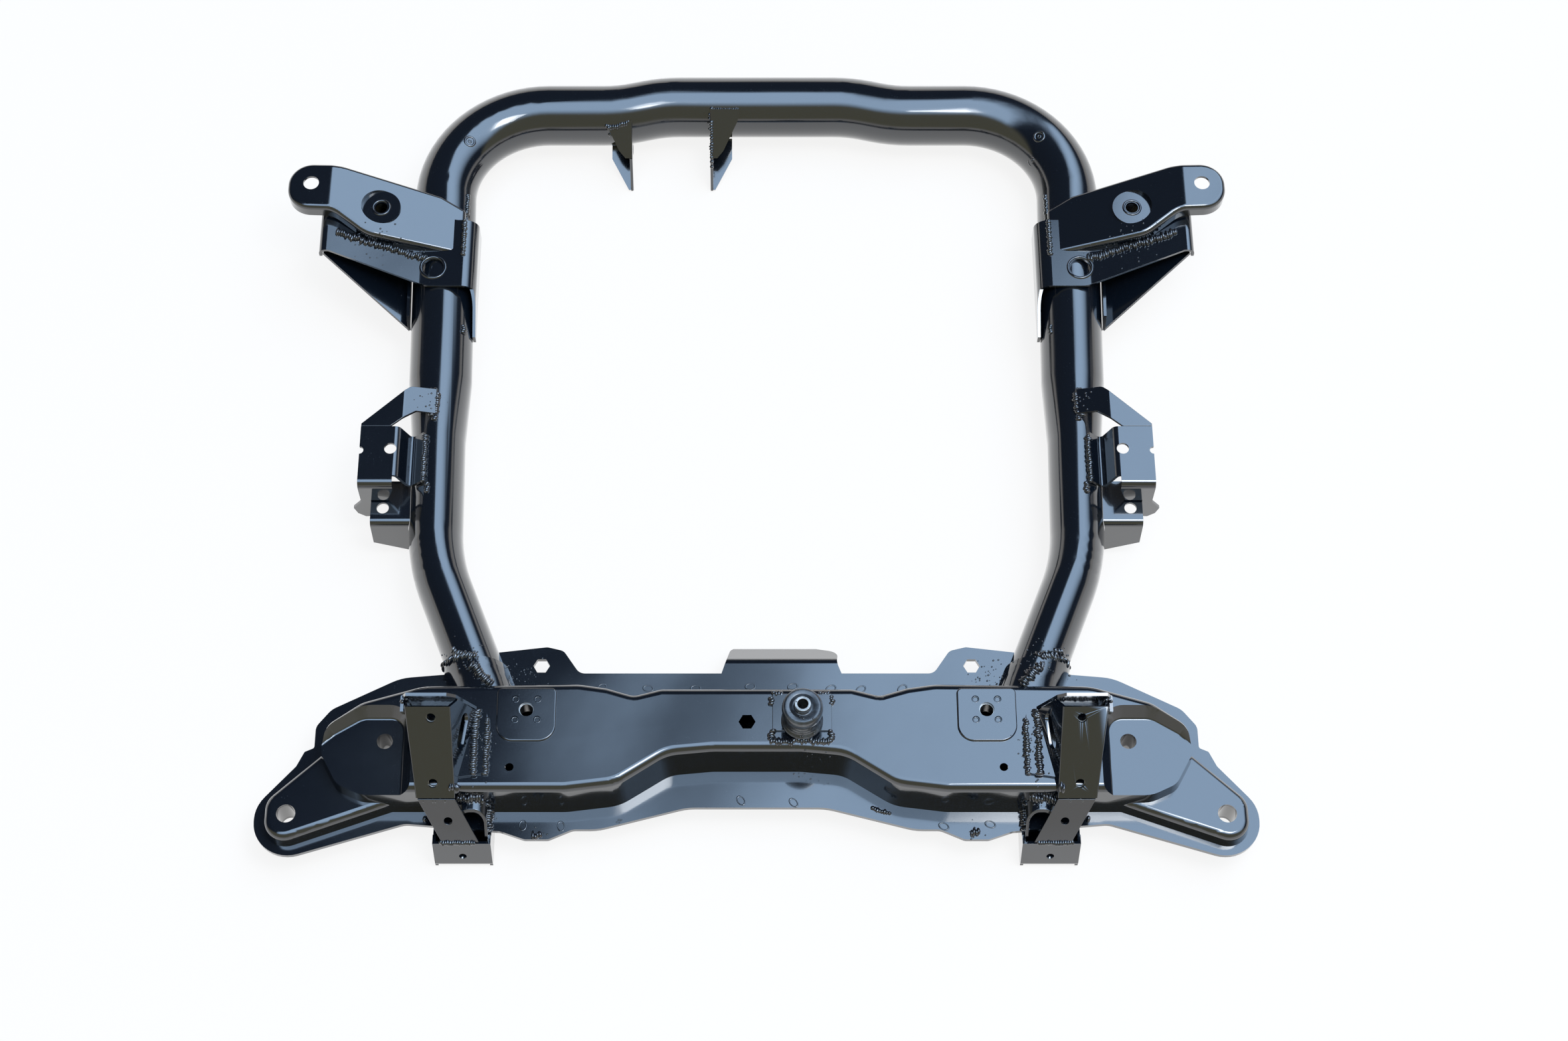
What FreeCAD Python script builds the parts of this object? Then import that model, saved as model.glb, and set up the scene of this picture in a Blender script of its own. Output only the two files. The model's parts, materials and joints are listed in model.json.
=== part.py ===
"""Front subframe of a small car: pressed crossmember, bent rail tube, welded brackets and bolt sleeves.

Millimetres, +X to the right, +Y to the front of the car, +Z up. The origin is the bottom centre of
the whole part. Distances called "ahead" are measured forward from the row of the rear body bolts.
"""
import FreeCAD, Part
import math
import os

from FreeCAD import Vector

SIZES = {
    # whole part
    "rear_row_back": "405.9",
    "clearance": "0.3",
    "shell_wall": "2.5",
    "bracket_wall": "3",
    # rail tube
    "tube_outer": "64",
    "tube_wall": "2.5",
    "tube_height": "45",
    "squeezed_width": "54",
    "squeezed_rise": "68",
    "front_run_ahead": "804",
    "front_bow": "11",
    "bow_half_length": "100",
    "bow_run_length": "46",
    "bow_radius": "150",
    "rail_front_half": "331",
    "rail_rear_half": "317.5",
    "corner_radius": "106",
    "knee_ahead": "268",
    "knee_radius": "190",
    "rail_end_half": "250",
    "rail_end_ahead": "96",
    "squeeze_start_ahead": "470",
    "squeeze_full_ahead": "400",
    # crossmember levels
    "joint_height": "36",
    "plateau_height": "84",
    "pad_height": "72",
    "ear_height": "57",
    "floor_height": "8",
    "ear_floor_height": "22",
    "press_draft": "7",
    "press_radius": "8",
    "ear_radius": "7",
    # crossmember plan of the raised beam
    "beam_front_ahead": "119",
    "beam_notch_ahead": "110",
    "beam_notch_half": "117",
    "beam_notch_run": "26",
    "beam_shoulder_half": "318",
    "beam_end_half": "411",
    "beam_end_front_ahead": "80",
    "beam_end_rear_ahead": "18",
    "beam_rear_ahead": "14",
    "waist_rear_ahead": "55",
    "waist_half": "84",
    "waist_run": "48",
    # crossmember plan of the joint flange
    "flange_front_ahead": "152",
    "flange_rear_ahead": "-11",
    "flange_waist_ahead": "13",
    "flange_waist_half": "66",
    "flange_waist_run": "84",
    "flange_shoulder_half": "345",
    "flange_end_half": "424",
    "flange_end_ahead": "100",
    "lug_ahead": "74",
    "lug_reach": "9",
    "rear_lobe_half": "208",
    "rear_lobe_reach": "8",
    "rear_lobe_width": "34",
    # ears for the body bolts
    "ear_hole_half": "443",
    "ear_hole_radius": "9",
    "ear_tip_half": "463",
    "ear_flange": "13",
    "ear_rear_flange": "18",
    "ear_front_angle": "43",
    "ear_rear_angle": "20",
    "ear_front_reach": "14",
    "ear_rear_reach": "32",
    "sleeve_wall": "4",
    # arm bolt pad
    "arm_bolt_half": "352",
    "arm_bolt_ahead": "67",
    "arm_bolt_radius": "7.7",
    "pad_inner_half": "334",
    "pad_front_ahead": "90",
    "pad_radius": "14",
    # steering rack bolts
    "rack_half": "218",
    "rack_ahead": "94",
    "rack_hole_radius": "7.2",
    "rack_pad_depth": "2",
    "rack_pad_size": "56",
    "rack_plate_size": "36",
    "rack_nut_height": "14",
    "rack_thread_radius": "6",
    "dimple_pitch": "21",
    "dimple_radius": "3.6",
    "dimple_depth": "1.2",
    # holes and tabs of the crossmember
    "small_hole_half": "232",
    "small_hole_ahead": "36",
    "small_hole_radius": "4",
    "hex_flats": "14",
    "top_hex_left": "9",
    "top_hex_ahead": "82",
    "tab_hex_half": "209",
    "tab_hex_ahead": "160",
    "tab_inner_half": "184",
    "tab_outer_half": "262",
    "tab_ahead": "178",
    "centre_tab_left": "29",
    "centre_tab_right": "78",
    "centre_tab_ahead": "189",
    "centre_tab_fold_ahead": "166",
    "centre_tab_drop": "26",
    # torque mount
    "mount_right": "43",
    "mount_ahead": "82",
    "mount_plate_width": "56",
    "mount_plate_ahead": "110",
    "mount_plate_depth": "38",
    "mount_plate_wall": "2.5",
    "rubber_radius": "17",
    "rubber_skirt_radius": "20",
    "rubber_height": "36",
    "rubber_skirt_height": "7",
    "mount_sleeve_radius": "7.7",
    "mount_bore_radius": "5",
    "mount_sleeve_rise": "5",
    # engine mount cheeks on the front tube
    "left_cheek_left": "134",
    "right_cheek_left": "48",
    "cheek_flange": "30",
    "cheek_top_height": "73",
    "cheek_knee_ahead": "752",
    "cheek_knee_height": "41",
    "cheek_foot_ahead": "738",
    "cheek_flange_foot": "6",
    "cheek_bolt_radius": "5.5",
    # front body mounts
    "front_ear_half": "460",
    "front_ear_ahead": "673",
    "front_ear_height": "112",
    "front_ear_hole_radius": "8",
    "front_ear_tip_half": "484",
    "front_ear_bend_half": "440",
    "front_shell_end_half": "303",
    "front_shell_end_height": "78",
    "front_shell_front_ahead": "697",
    "front_shell_tip_rear_ahead": "644",
    "front_shell_end_front_ahead": "662",
    "front_shell_end_rear_ahead": "609",
    "front_shell_skirt": "15",
    "front_shell_radius": "5",
    "seat_half": "388",
    "seat_ahead": "652",
    "seat_radius": "20",
    "seat_hole_radius": "6.5",
    "saddle_outer_half": "449",
    "saddle_outer_height": "93",
    "saddle_rear_outer_ahead": "603",
    "saddle_rear_mid_ahead": "568",
    "saddle_front_ahead": "648",
    "saddle_leg_foot": "44",
    "saddle_leg_rear_ahead": "522",
    "saddle_hole_half": "333",
    "saddle_hole_radius": "10.7",
    "gusset_outer_height": "80",
    "gusset_inner_height": "46",
    "gusset_inner_rear_ahead": "535",
    "gusset_front_ahead": "690",
    "gusset_tube_flange": "16",
    # arm brackets on the rails
    "arm_bracket_outer_half": "393",
    "arm_bracket_bend_half": "356",
    "arm_bracket_height": "92",
    "arm_bracket_front_ahead": "396",
    "arm_bracket_rear_ahead": "331",
    "arm_bracket_wall_foot": "62",
    "arm_bracket_ear_foot": "27",
    "arm_bracket_ear_width": "11",
    "arm_bracket_hole_half": "362.5",
    "arm_bracket_hole_ahead": "371",
    "arm_bracket_hole_radius": "6",
    "arm_bracket_notch_radius": "4",
    "tab_angle": "52",
    "tab_length": "19",
    "strap_tip_ahead": "443",
    "strap_root_ahead": "416",
    "shelf_height": "58",
    "shelf_front_ahead": "352",
    "shelf_rear_ahead": "306",
    "shelf_foot": "10",
    "shelf_outer_half": "383",
    "shelf_hole_half": "371",
    "shelf_hole_ahead": "322",
    "shelf_hole_radius": "6",
    # anti-roll bar brackets
    "riser_outer_half": "325",
    "riser_inner_half": "283",
    "riser_foot_ahead": "7",
    "riser_foot_height": "80",
    "riser_angle": "42",
    "riser_length": "90",
    "riser_hole_low": "14.5",
    "riser_hole_pitch": "64.5",
    "riser_hole_radius": "4.5",
    "riser_nut_flats": "15",
    "riser_nut_height": "8",
    "riser_low_nut_height": "2.5",
    "riser_side_spread": "17",
    "riser_side_flange": "11",
    "riser_window_length": "34",
    "riser_window_width": "14",
    "brace_ahead": "92",
    "strap_foot_ahead": "-22",
    "strap_foot_height": "38",
    "strap_shift": "20",
    "strap_width": "35",
    "foot_outer_half": "306",
    "foot_inner_half": "251",
    "foot_rear_ahead": "-33",
    "foot_floor_ahead": "30",
    "foot_hole_radius": "3.6",
    "arch_outer_half": "281",
    "arch_inner_half": "255",
    "arch_height": "67",
    "arch_rear_ahead": "-17",
}

doc = FreeCAD.newDocument("subframe")
sheet = doc.addObject("Spreadsheet::Sheet", "sizes")
for row, (alias, value) in enumerate(SIZES.items(), 1):
    sheet.set("A%d" % row, alias)
    sheet.set("B%d" % row, value)
    sheet.setAlias("B%d" % row, alias)
doc.recompute()


def size(alias):
    """Gives one value of the sheet, in millimetres or degrees."""
    return float(getattr(sheet, alias))


def ahead(alias):
    """Gives the Y of a size that is measured forward from the rear bolt row."""
    return size(alias) - size("rear_row_back")


ROW = -size("rear_row_back")
CLEAR = size("clearance")
WALL = size("shell_wall")
SHEET = size("bracket_wall")
JOINT = size("joint_height")


def corner_steps(corners, closed=True):
    """Gives the straight and round steps of an outline whose corners are (x, y, radius)."""
    count = len(corners)
    spans = []
    for index, (x, y, radius) in enumerate(corners):
        here = Vector(x, y, 0)
        if radius <= 0 or (not closed and index in (0, count - 1)):
            spans.append((here, None, here))
            continue
        before = Vector(*corners[index - 1][:2], 0)
        after = Vector(*corners[(index + 1) % count][:2], 0)
        back = (before - here).normalize()
        forth = (after - here).normalize()
        half = back.getAngle(forth) / 2
        trim = radius / math.tan(half)
        middle = (back + forth).normalize()
        top = here + middle * (radius / math.sin(half) - radius)
        spans.append((here + back * trim, top, here + forth * trim))
    return spans


def outline_wire(corners, height=0.0, closed=True):
    """Draws an outline of (x, y, radius) corners at a height, as lines and tangent arcs."""
    lift = Vector(0, 0, height)
    spans = corner_steps(corners, closed)
    edges = []
    for index, (start, top, end) in enumerate(spans):
        if top is not None:
            edges.append(Part.Arc(start + lift, top + lift, end + lift).toShape())
        if index + 1 < len(spans) or closed:
            following = spans[(index + 1) % len(spans)][0]
            if (following - end).Length > 1e-6:
                edges.append(Part.makeLine(end + lift, following + lift))
    return Part.Wire(edges)


def grown(corners, offset):
    """Moves every side of a counter-clockwise outline outward by an offset."""
    result = []
    count = len(corners)
    for index, (x, y, radius) in enumerate(corners):
        before = corners[index - 1]
        after = corners[(index + 1) % count]
        first = Vector(x - before[0], y - before[1], 0).normalize()
        second = Vector(after[0] - x, after[1] - y, 0).normalize()
        turn = first.x * second.y - first.y * second.x
        normal = Vector(first.y + second.y, -first.x - second.x, 0).normalize()
        reach = offset / (normal.x * first.y - normal.y * first.x)
        bend = max(radius + (offset if turn > 0 else -offset), 0.5) if radius > 0 else 0
        result.append((x + normal.x * reach, y + normal.y * reach, bend))
    return result


def slab(corners, low, high):
    """Extrudes an outline from one height to another."""
    return Part.Face(outline_wire(corners, low)).extrude(Vector(0, 0, high - low))


def pressed(corners, crest, base, radius, inset=0):
    """Makes a drafted pressing: the outline at its crest, wider at its base.

    The crest is rounded on the outside form and bevelled by as much on the inside form.
    """
    spread = abs(crest - base) * math.tan(math.radians(size("press_draft")))
    crest_wire = outline_wire(corners, crest)
    base_wire = outline_wire(grown(corners, spread), base)
    form = Part.makeLoft([crest_wire, base_wire], True, True)
    rim = [edge for edge in form.Edges if all(abs(v.Z - crest) < 1e-4 for v in edge.Vertexes)]
    if inset > 0:
        return form.makeChamfer((radius - inset) * 0.6, rim)
    return form.makeFillet(radius - inset, rim)


def both_sides(left_half):
    """Closes a left half outline, listed from front centre round to rear centre, with its mirror."""
    return left_half + [(-x, y, radius) for x, y, radius in reversed(left_half)]


def mirrored(shape):
    """Gives the right-hand copy of a left-hand shape."""
    return shape.mirror(Vector(0, 0, 0), Vector(1, 0, 0))


def bar(start, end, radius):
    """Makes a round bar between two points."""
    return Part.makeCylinder(radius, (end - start).Length, start, end - start)


def upright(x, y, radius, low, high):
    """Makes a round bar that stands at x, y between two heights."""
    return Part.makeCylinder(radius, high - low, Vector(x, y, low))


def hexagon(x, y, flats, low, high):
    """Makes a six-sided bar that stands at x, y between two heights."""
    reach = flats / math.sqrt(3)
    corners = [(x + reach * math.cos(math.radians(a)), y + reach * math.sin(math.radians(a)), 0)
               for a in range(0, 360, 60)]
    return slab(corners, low, high)


def ribbon(path, wall, radius):
    """Gives the outline of a bent sheet seen on edge: its middle line thickened to the wall.

    A point of the path is (u, w), or (u, w, radius) where its bend has a radius of its own.
    """
    radii = [point[2] if len(point) > 2 else radius for point in path]
    path = [point[:2] for point in path]
    sides = []
    for side in (1, -1):
        line = []
        for index, (u, w) in enumerate(path):
            steps = []
            if index > 0:
                steps.append(Vector(u - path[index - 1][0], w - path[index - 1][1], 0).normalize())
            if index + 1 < len(path):
                steps.append(Vector(path[index + 1][0] - u, path[index + 1][1] - w, 0).normalize())
            normals = [Vector(-step.y, step.x, 0) for step in steps]
            total = normals[0] if len(normals) == 1 else (normals[0] + normals[1]).normalize()
            reach = side * wall / 2 / total.dot(normals[0])
            bend = 0
            if len(steps) == 2:
                turn = steps[0].x * steps[1].y - steps[0].y * steps[1].x
                bend = max(radii[index] - side * wall / 2 * (1 if turn > 0 else -1), 0.4)
            line.append((u + total.x * reach, w + total.y * reach, bend))
        sides.append(line)
    return sides[0] + list(reversed(sides[1]))


def bent_along_y(path, wall, radius, rear, front):
    """Makes a sheet bent in the XZ plane that runs from rear to front."""
    face = Part.Face(outline_wire(ribbon(path, wall, radius)))
    strip = face.extrude(Vector(0, 0, front - rear))
    strip.rotate(Vector(0, 0, 0), Vector(1, 0, 0), 90)
    strip.translate(Vector(0, front, 0))
    return strip


def bent_along_x(path, wall, radius, left, right):
    """Makes a sheet bent in the YZ plane that runs from left to right."""
    face = Part.Face(outline_wire(ribbon(path, wall, radius)))
    strip = face.extrude(Vector(0, 0, right - left))
    strip.rotate(Vector(0, 0, 0), Vector(1, 1, 1), 120)
    strip.translate(Vector(left, 0, 0))
    return strip


def panel(points, wall):
    """Makes a flat plate whose middle plane is the polygon through the points."""
    corners = [Vector(*point) for point in points]
    face = Part.Face(Part.makePolygon(corners + corners[:1]))
    normal = (corners[1] - corners[0]).cross(corners[2] - corners[1]).normalize()
    face.translate(normal * (-wall / 2))
    return face.extrude(normal * wall)


def folded(panels, folds, wall):
    """Joins flat panels along rounded folds into one bent sheet."""
    pieces = [panel(points, wall) for points in panels]
    pieces += [bar(Vector(*start), Vector(*end), wall / 2) for start, end in folds]
    return pieces[0].fuse(pieces[1:]).removeSplitter()


# Rail tube

def tube_corners():
    """Gives the tube's centre line in plan as (x, y, radius) corners, from left end to right end."""
    bow = size("bow_half_length")
    front = ahead("front_run_ahead")
    half = [
        (-size("rail_end_half"), ahead("rail_end_ahead"), 0),
        (-size("rail_rear_half"), ahead("knee_ahead"), size("knee_radius")),
        (-size("rail_front_half"), front, size("corner_radius")),
        (-bow - size("bow_run_length"), front, size("bow_radius")),
        (-bow, front + size("front_bow"), size("bow_radius")),
    ]
    return half + [(-x, y, radius) for x, y, radius in reversed(half)]


def eased(value, start, end):
    """Goes smoothly from 0 at start to 1 at end."""
    share = min(1.0, max(0.0, (value - start) / (end - start)))
    return share * share * (3 - 2 * share)


def tube_half_axes(y):
    """Gives the half width and half rise of the tube where it passes y."""
    squeeze = eased(y, ahead("squeeze_start_ahead"), ahead("squeeze_full_ahead"))
    round_half = size("tube_outer") / 2
    wide = round_half + squeeze * (size("squeezed_width") / 2 - round_half)
    tall = round_half + squeeze * (size("squeezed_rise") / 2 - round_half)
    return wide, tall


def oval(point, direction, offset):
    """Draws the tube's closed section at a point, square to its direction, grown by an offset."""
    wide, tall = [half + offset for half in tube_half_axes(point.y)]
    centre = point + Vector(0, 0, size("tube_height"))
    across = Vector(direction.y, -direction.x, 0) * wide
    rise = Vector(0, 0, tall)
    if abs(wide - tall) < 0.01:
        curve = Part.Circle(centre, direction, wide)
        curve.XAxis = Vector(0, 0, 1)
    elif tall > wide:
        curve = Part.Ellipse(centre + rise, centre + across, centre)
    else:
        curve = Part.Ellipse(centre + across, centre + rise, centre)
    return Part.Wire([curve.toShape()])


def squeeze_stops(start, end):
    """Gives the points that part a straight run of the tube where its section starts and ends to change."""
    stops = [start]
    for alias in ("squeeze_start_ahead", "squeeze_full_ahead"):
        share = (ahead(alias) - start.y) / (end.y - start.y) if abs(end.y - start.y) > 1 else -1
        if 0 < share < 1:
            stops.append(start + (end - start) * share)
    return sorted(stops, key=lambda point: (point - start).Length) + [end]


def tube_bend(start, top, end, direction, offset):
    """Makes one bend of the tube by turning its section round the middle of the bend."""
    centre = Part.Arc(start, top, end).toShape().Curve.Center
    angle = math.degrees((start - centre).getAngle(end - centre))
    if (start - centre).cross(end - centre).z < 0:
        angle = -angle
    return Part.Face(oval(start, direction, offset)).revolve(centre, Vector(0, 0, 1), angle)


def tube_form(offset, overrun=0.0):
    """Makes the solid form of the tube, grown by an offset and longer at both ends by an overrun."""
    spans = corner_steps(tube_corners(), closed=False)
    pieces = []
    for index, (start, top, end) in enumerate(spans[:-1]):
        if top is not None:
            pieces.append(tube_bend(start, top, end, direction, offset))
        stops = squeeze_stops(end, spans[index + 1][0])
        direction = (stops[-1] - stops[0]).normalize()
        if index == 0:
            stops[0] = stops[0] - direction * overrun
        if index == len(spans) - 2:
            stops[-1] = stops[-1] + direction * overrun
        for first, last in zip(stops, stops[1:]):
            pieces.append(tube_run(first, last, direction, offset))
    return pieces[0].fuse(pieces[1:])


def tube_run(start, end, direction, offset):
    """Makes one straight run of the tube, extruded, or lofted where its section changes."""
    if tube_half_axes(start.y) == tube_half_axes(end.y):
        return Part.Face(oval(start, direction, offset)).extrude(end - start)
    return Part.makeLoft([oval(start, direction, offset), oval(end, direction, offset)], True, True)


def rail_tube():
    """Makes the bent tube, open at both ends."""
    return tube_form(0).cut(tube_form(-size("tube_wall"), 2))


def tube_end_form(offset):
    """Makes the left end run of the tube, grown by an offset and longer at both ends."""
    start, corner = [Vector(x, y, 0) for x, y, radius in tube_corners()[:2]]
    direction = (corner - start).normalize()
    reach = 40.0
    return Part.Face(oval(start - direction * reach, direction, offset)).extrude(direction * (2 * reach + 90))


TUBE_SPACE = tube_form(CLEAR)
TUBE_END_SPACE = tube_end_form(CLEAR)


def rail_x(y):
    """Gives the X of the left rail's centre line at y, on its straight stretch."""
    start = (-size("rail_rear_half"), ahead("knee_ahead"))
    end = (-size("rail_front_half"), ahead("front_run_ahead"))
    return start[0] + (end[0] - start[0]) * (y - start[1]) / (end[1] - start[1])


def add_shape(name, shape):
    """Adds a sub-part whose shape is made by functions that read the sheet."""
    part = doc.addObject("Part::Feature", name)
    part.Label = name
    part.Shape = shape
    part.Placement = FreeCAD.Placement()
    return part


SUBPARTS = []


def add_pair(name, left_shape):
    """Adds a left-hand sub-part and its mirrored right-hand twin."""
    left = add_shape("left_" + name, left_shape)
    right = doc.addObject("Part::Mirroring", "right_" + name)
    right.Label = "right_" + name
    right.Source = left
    right.Base = Vector(0, 0, 0)
    right.Normal = Vector(1, 0, 0)
    SUBPARTS.extend([left, right])


# Crossmember

def beam_outline():
    """Gives the plan of the raised beam, arm bolt pads included."""
    front = ahead("beam_front_ahead")
    notch = size("beam_notch_half")
    run = size("beam_notch_run")
    rear = ahead("beam_rear_ahead")
    waist = size("waist_half")
    return both_sides([
        (-notch + run, front - 2, 18),
        (-notch, ahead("beam_notch_ahead"), 16),
        (-notch - run, front - 1, 18),
        (-notch - 2 * run, front + 3, 60),
        (-size("beam_shoulder_half"), front + 1, 60),
        (-size("beam_end_half") + 36, front - 16, 30),
        (-size("beam_end_half") + 4, ahead("beam_end_front_ahead"), 20),
        (-size("beam_end_half"), ahead("beam_end_front_ahead") - 24, 20),
        (-size("beam_end_half") + 17, ahead("beam_end_rear_ahead") + 7, 16),
        (-size("beam_end_half") + 40, ahead("beam_end_rear_ahead") - 4, 30),
        (-waist - 2 * size("waist_run"), rear, 60),
        (-waist - size("waist_run"), rear + 6, 40),
        (-waist, ahead("waist_rear_ahead") - 4, 40),
        (-waist / 2, ahead("waist_rear_ahead"), 60),
    ])


def flange_outline():
    """Gives the plan of the joint flange of both pressings."""
    front = ahead("flange_front_ahead")
    rear = ahead("flange_rear_ahead")
    end = size("flange_end_half")
    lobe = size("rear_lobe_half")
    tip = size("ear_tip_half") + size("ear_flange")
    slope = math.tan(math.radians(size("ear_rear_angle") - 3))
    corner_y = ROW - size("ear_rear_reach") - size("ear_rear_flange") + 3
    rear_join = -rear_join_half()
    return both_sides([
        (-size("tab_inner_half") + 12, front, 10),
        (-size("tab_inner_half") - 4, ahead("tab_ahead") - 2, 9),
        (-size("tab_inner_half") - 20, ahead("tab_ahead") + 2, 9),
        (-size("tab_outer_half"), ahead("tab_ahead") - 5, 6),
        (-size("tab_outer_half") - 4, front + 2, 0),
        (-size("flange_shoulder_half"), front - 5, 50),
        (-end + 14, ahead("flange_end_ahead") + 14, 20),
        (-end, ahead("flange_end_ahead") - 4, 12),
        (-end, ahead("lug_ahead"), 3),
        (-end - size("lug_reach"), ahead("lug_ahead") - 4, 3),
        (-end - size("lug_reach") - 7, ahead("lug_ahead") - 19, 3),
        (-tip, ROW + size("ear_front_reach"), 34),
        (-tip, corner_y, 34),
        (rear_join, corner_y + (rear_join + tip) * slope, 20),
        (-lobe - size("rear_lobe_width"), rear, 14),
        (-lobe - size("rear_lobe_width") / 3, rear - size("rear_lobe_reach"), 9),
        (-lobe + size("rear_lobe_width") / 3, rear - size("rear_lobe_reach"), 9),
        (-lobe + size("rear_lobe_width"), rear + 2, 14),
        (-size("flange_waist_half") - size("flange_waist_run"), rear + 2, 60),
        (-size("flange_waist_half"), ahead("flange_waist_ahead"), 60),
    ])


def rear_join_half():
    """Gives the half width at which the rear edges of the ears run into the beam."""
    return size("riser_outer_half") + 8


def ear_outline():
    """Gives the plan of the raised part of the left ear."""
    tip = -size("ear_tip_half")
    rise = math.tan(math.radians(size("ear_front_angle")))
    fall = math.tan(math.radians(size("ear_rear_angle")))
    inner = -rear_join_half()
    front_start = ROW + size("ear_front_reach")
    rear_start = ROW - size("ear_rear_reach")
    meet = -size("beam_end_half") + 20
    return [
        (tip, front_start, 19),
        (tip, rear_start, 19),
        (inner, rear_start + (inner - tip) * fall, 0),
        (inner, ahead("pad_front_ahead"), 0),
        (meet, front_start + (meet - tip) * rise, 8),
    ]


def pad_recess(inset, height):
    """Makes the space above the left arm bolt pad, drafted, with a rounded foot."""
    inner = -size("pad_inner_half")
    front = ahead("pad_front_ahead")
    outer = -size("beam_end_half") - 30
    radius = size("pad_radius")
    corners = [
        (outer, front - 52, 0),
        (outer, ROW - 30, 0),
        (inner, ROW - 30, 0),
        (inner, front, radius),
        (inner - 40, front, radius + 6),
        (inner - 66, front - 16, radius),
    ]
    spread = (size("plateau_height") - size("pad_height")) * 0.7 + 4
    top = outline_wire(grown(corners, inset + spread), height + size("plateau_height") - size("pad_height") + 4)
    foot = outline_wire(grown(corners, inset), height)
    form = Part.makeLoft([foot, top], True, True)
    rim = [edge for edge in form.Edges if all(abs(v.Z - height) < 1e-4 for v in edge.Vertexes)
           and edge.BoundBox.XMax > outer + 3 and edge.BoundBox.YMax > ROW - 20 + 1e-6]
    return form.makeFillet(3.0, rim)


def upper_skin(inset):
    """Makes the form of the upper pressing: its outside, or its inside when inset by the wall."""
    base = JOINT - (5 if inset else 0)
    beam = pressed(grown(beam_outline(), -inset), size("plateau_height") - inset, base,
                   size("press_radius"), inset)
    for side in (lambda s: s, mirrored):
        beam = beam.cut(side(pad_recess(inset, size("pad_height") - inset)))
    ear = pressed(grown(ear_outline(), -inset), size("ear_height") - inset, base,
                  size("ear_radius"), inset)
    pad = rack_pad(inset)
    return beam.fuse([ear, mirrored(ear), pad, mirrored(pad)])


def upper_shell():
    """Makes the upper pressing: hat section, ears, pads, tabs and holes."""
    flange = slab(flange_outline(), JOINT, JOINT + WALL)
    form = upper_skin(0).fuse([flange, centre_tab()])
    collar = tube_end_form(CLEAR + WALL).common(Part.makeBox(
        200, ahead("flange_front_ahead") - ROW - 100, 100,
        Vector(-size("rail_end_half") - 120, ROW + 100, JOINT)))
    form = form.fuse([collar, mirrored(collar)])
    shell = form.cut(upper_skin(WALL))
    shell = shell.cut([TUBE_END_SPACE, mirrored(TUBE_END_SPACE)])
    return shell.cut(upper_holes()).removeSplitter()


def centre_tab():
    """Makes the tab in the middle of the front flange, its far part bent down."""
    left = -size("centre_tab_left")
    right = size("centre_tab_right")
    front = ahead("centre_tab_ahead")
    fold = ahead("centre_tab_fold_ahead")
    middle = JOINT + WALL / 2
    root = ahead("flange_front_ahead") - 4
    path = [(root, middle), (fold, middle), (front, middle - size("centre_tab_drop"))]
    strip = bent_along_x(path, WALL, 8, left - 8, right + 8)
    plan = slab([
        (left - 8, root - 5, 0),
        (right + 8, root - 5, 0),
        (right, root + 16, 20),
        (right + 2, front - 6, 12),
        (right - 26, front + 3, 30),
        (left + 4, front + 3, 10),
        (left, root + 20, 20),
    ], 0, size("plateau_height"))
    return strip.common(plan)


def upper_holes():
    """Gives everything that is punched through the upper pressing."""
    low, high = JOINT - 1, size("plateau_height") + size("rack_pad_depth") + 1
    ear = upright(-size("ear_hole_half"), ROW, size("ear_hole_radius"), low, high)
    arm = upright(-size("arm_bolt_half"), ahead("arm_bolt_ahead"), size("arm_bolt_radius"), low, high)
    rack = upright(-size("rack_half"), ahead("rack_ahead"), size("rack_hole_radius"), low, high)
    small = upright(-size("small_hole_half"), ahead("small_hole_ahead"), size("small_hole_radius"),
                    low, high)
    tab = hexagon(-size("tab_hex_half"), ahead("tab_hex_ahead"), size("hex_flats"), low, high)
    pairs = [ear, arm, rack, small, tab] + weld_dimples()
    top = hexagon(-size("top_hex_left"), ahead("top_hex_ahead"), size("hex_flats"), low, high)
    return pairs + [mirrored(hole) for hole in pairs] + [top]


def lower_skin(inset):
    """Makes the form of the lower pressing, upside down: its outside or its inside."""
    base = JOINT + (5 if inset else 0)
    beam = pressed(grown(beam_outline(), -inset), size("floor_height") + inset, base,
                   size("press_radius"), inset)
    ear = pressed(grown(ear_outline(), -inset), size("ear_floor_height") + inset, base,
                  size("ear_radius"), inset)
    return beam.fuse([ear, mirrored(ear)])


def lower_shell():
    """Makes the lower pressing: floor, walls, flange and bolt holes."""
    corners = flange_outline()
    flange = slab(corners, JOINT - WALL, JOINT)
    form = lower_skin(0).fuse(flange)
    collar = tube_end_form(CLEAR + WALL).common(Part.makeBox(
        200, ahead("flange_front_ahead") - ROW - 100, JOINT,
        Vector(-size("rail_end_half") - 120, ROW + 100, 0)))
    form = form.fuse([collar, mirrored(collar)])
    shell = form.cut(lower_skin(WALL))
    shell = shell.cut([TUBE_END_SPACE, mirrored(TUBE_END_SPACE)])
    low, high = 0, JOINT + 1
    ear = upright(-size("ear_hole_half"), ROW, size("ear_hole_radius"), low, high)
    arm = upright(-size("arm_bolt_half"), ahead("arm_bolt_ahead"), size("arm_bolt_radius"), low, high)
    tab = hexagon(-size("tab_hex_half"), ahead("tab_hex_ahead"), size("hex_flats"), low, high)
    drain = upright(-size("rack_half"), ahead("rack_ahead") - 20, size("rack_pad_size") / 4, low, high)
    pairs = [ear, arm, tab, drain]
    return shell.cut(pairs + [mirrored(hole) for hole in pairs]).removeSplitter()


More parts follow.
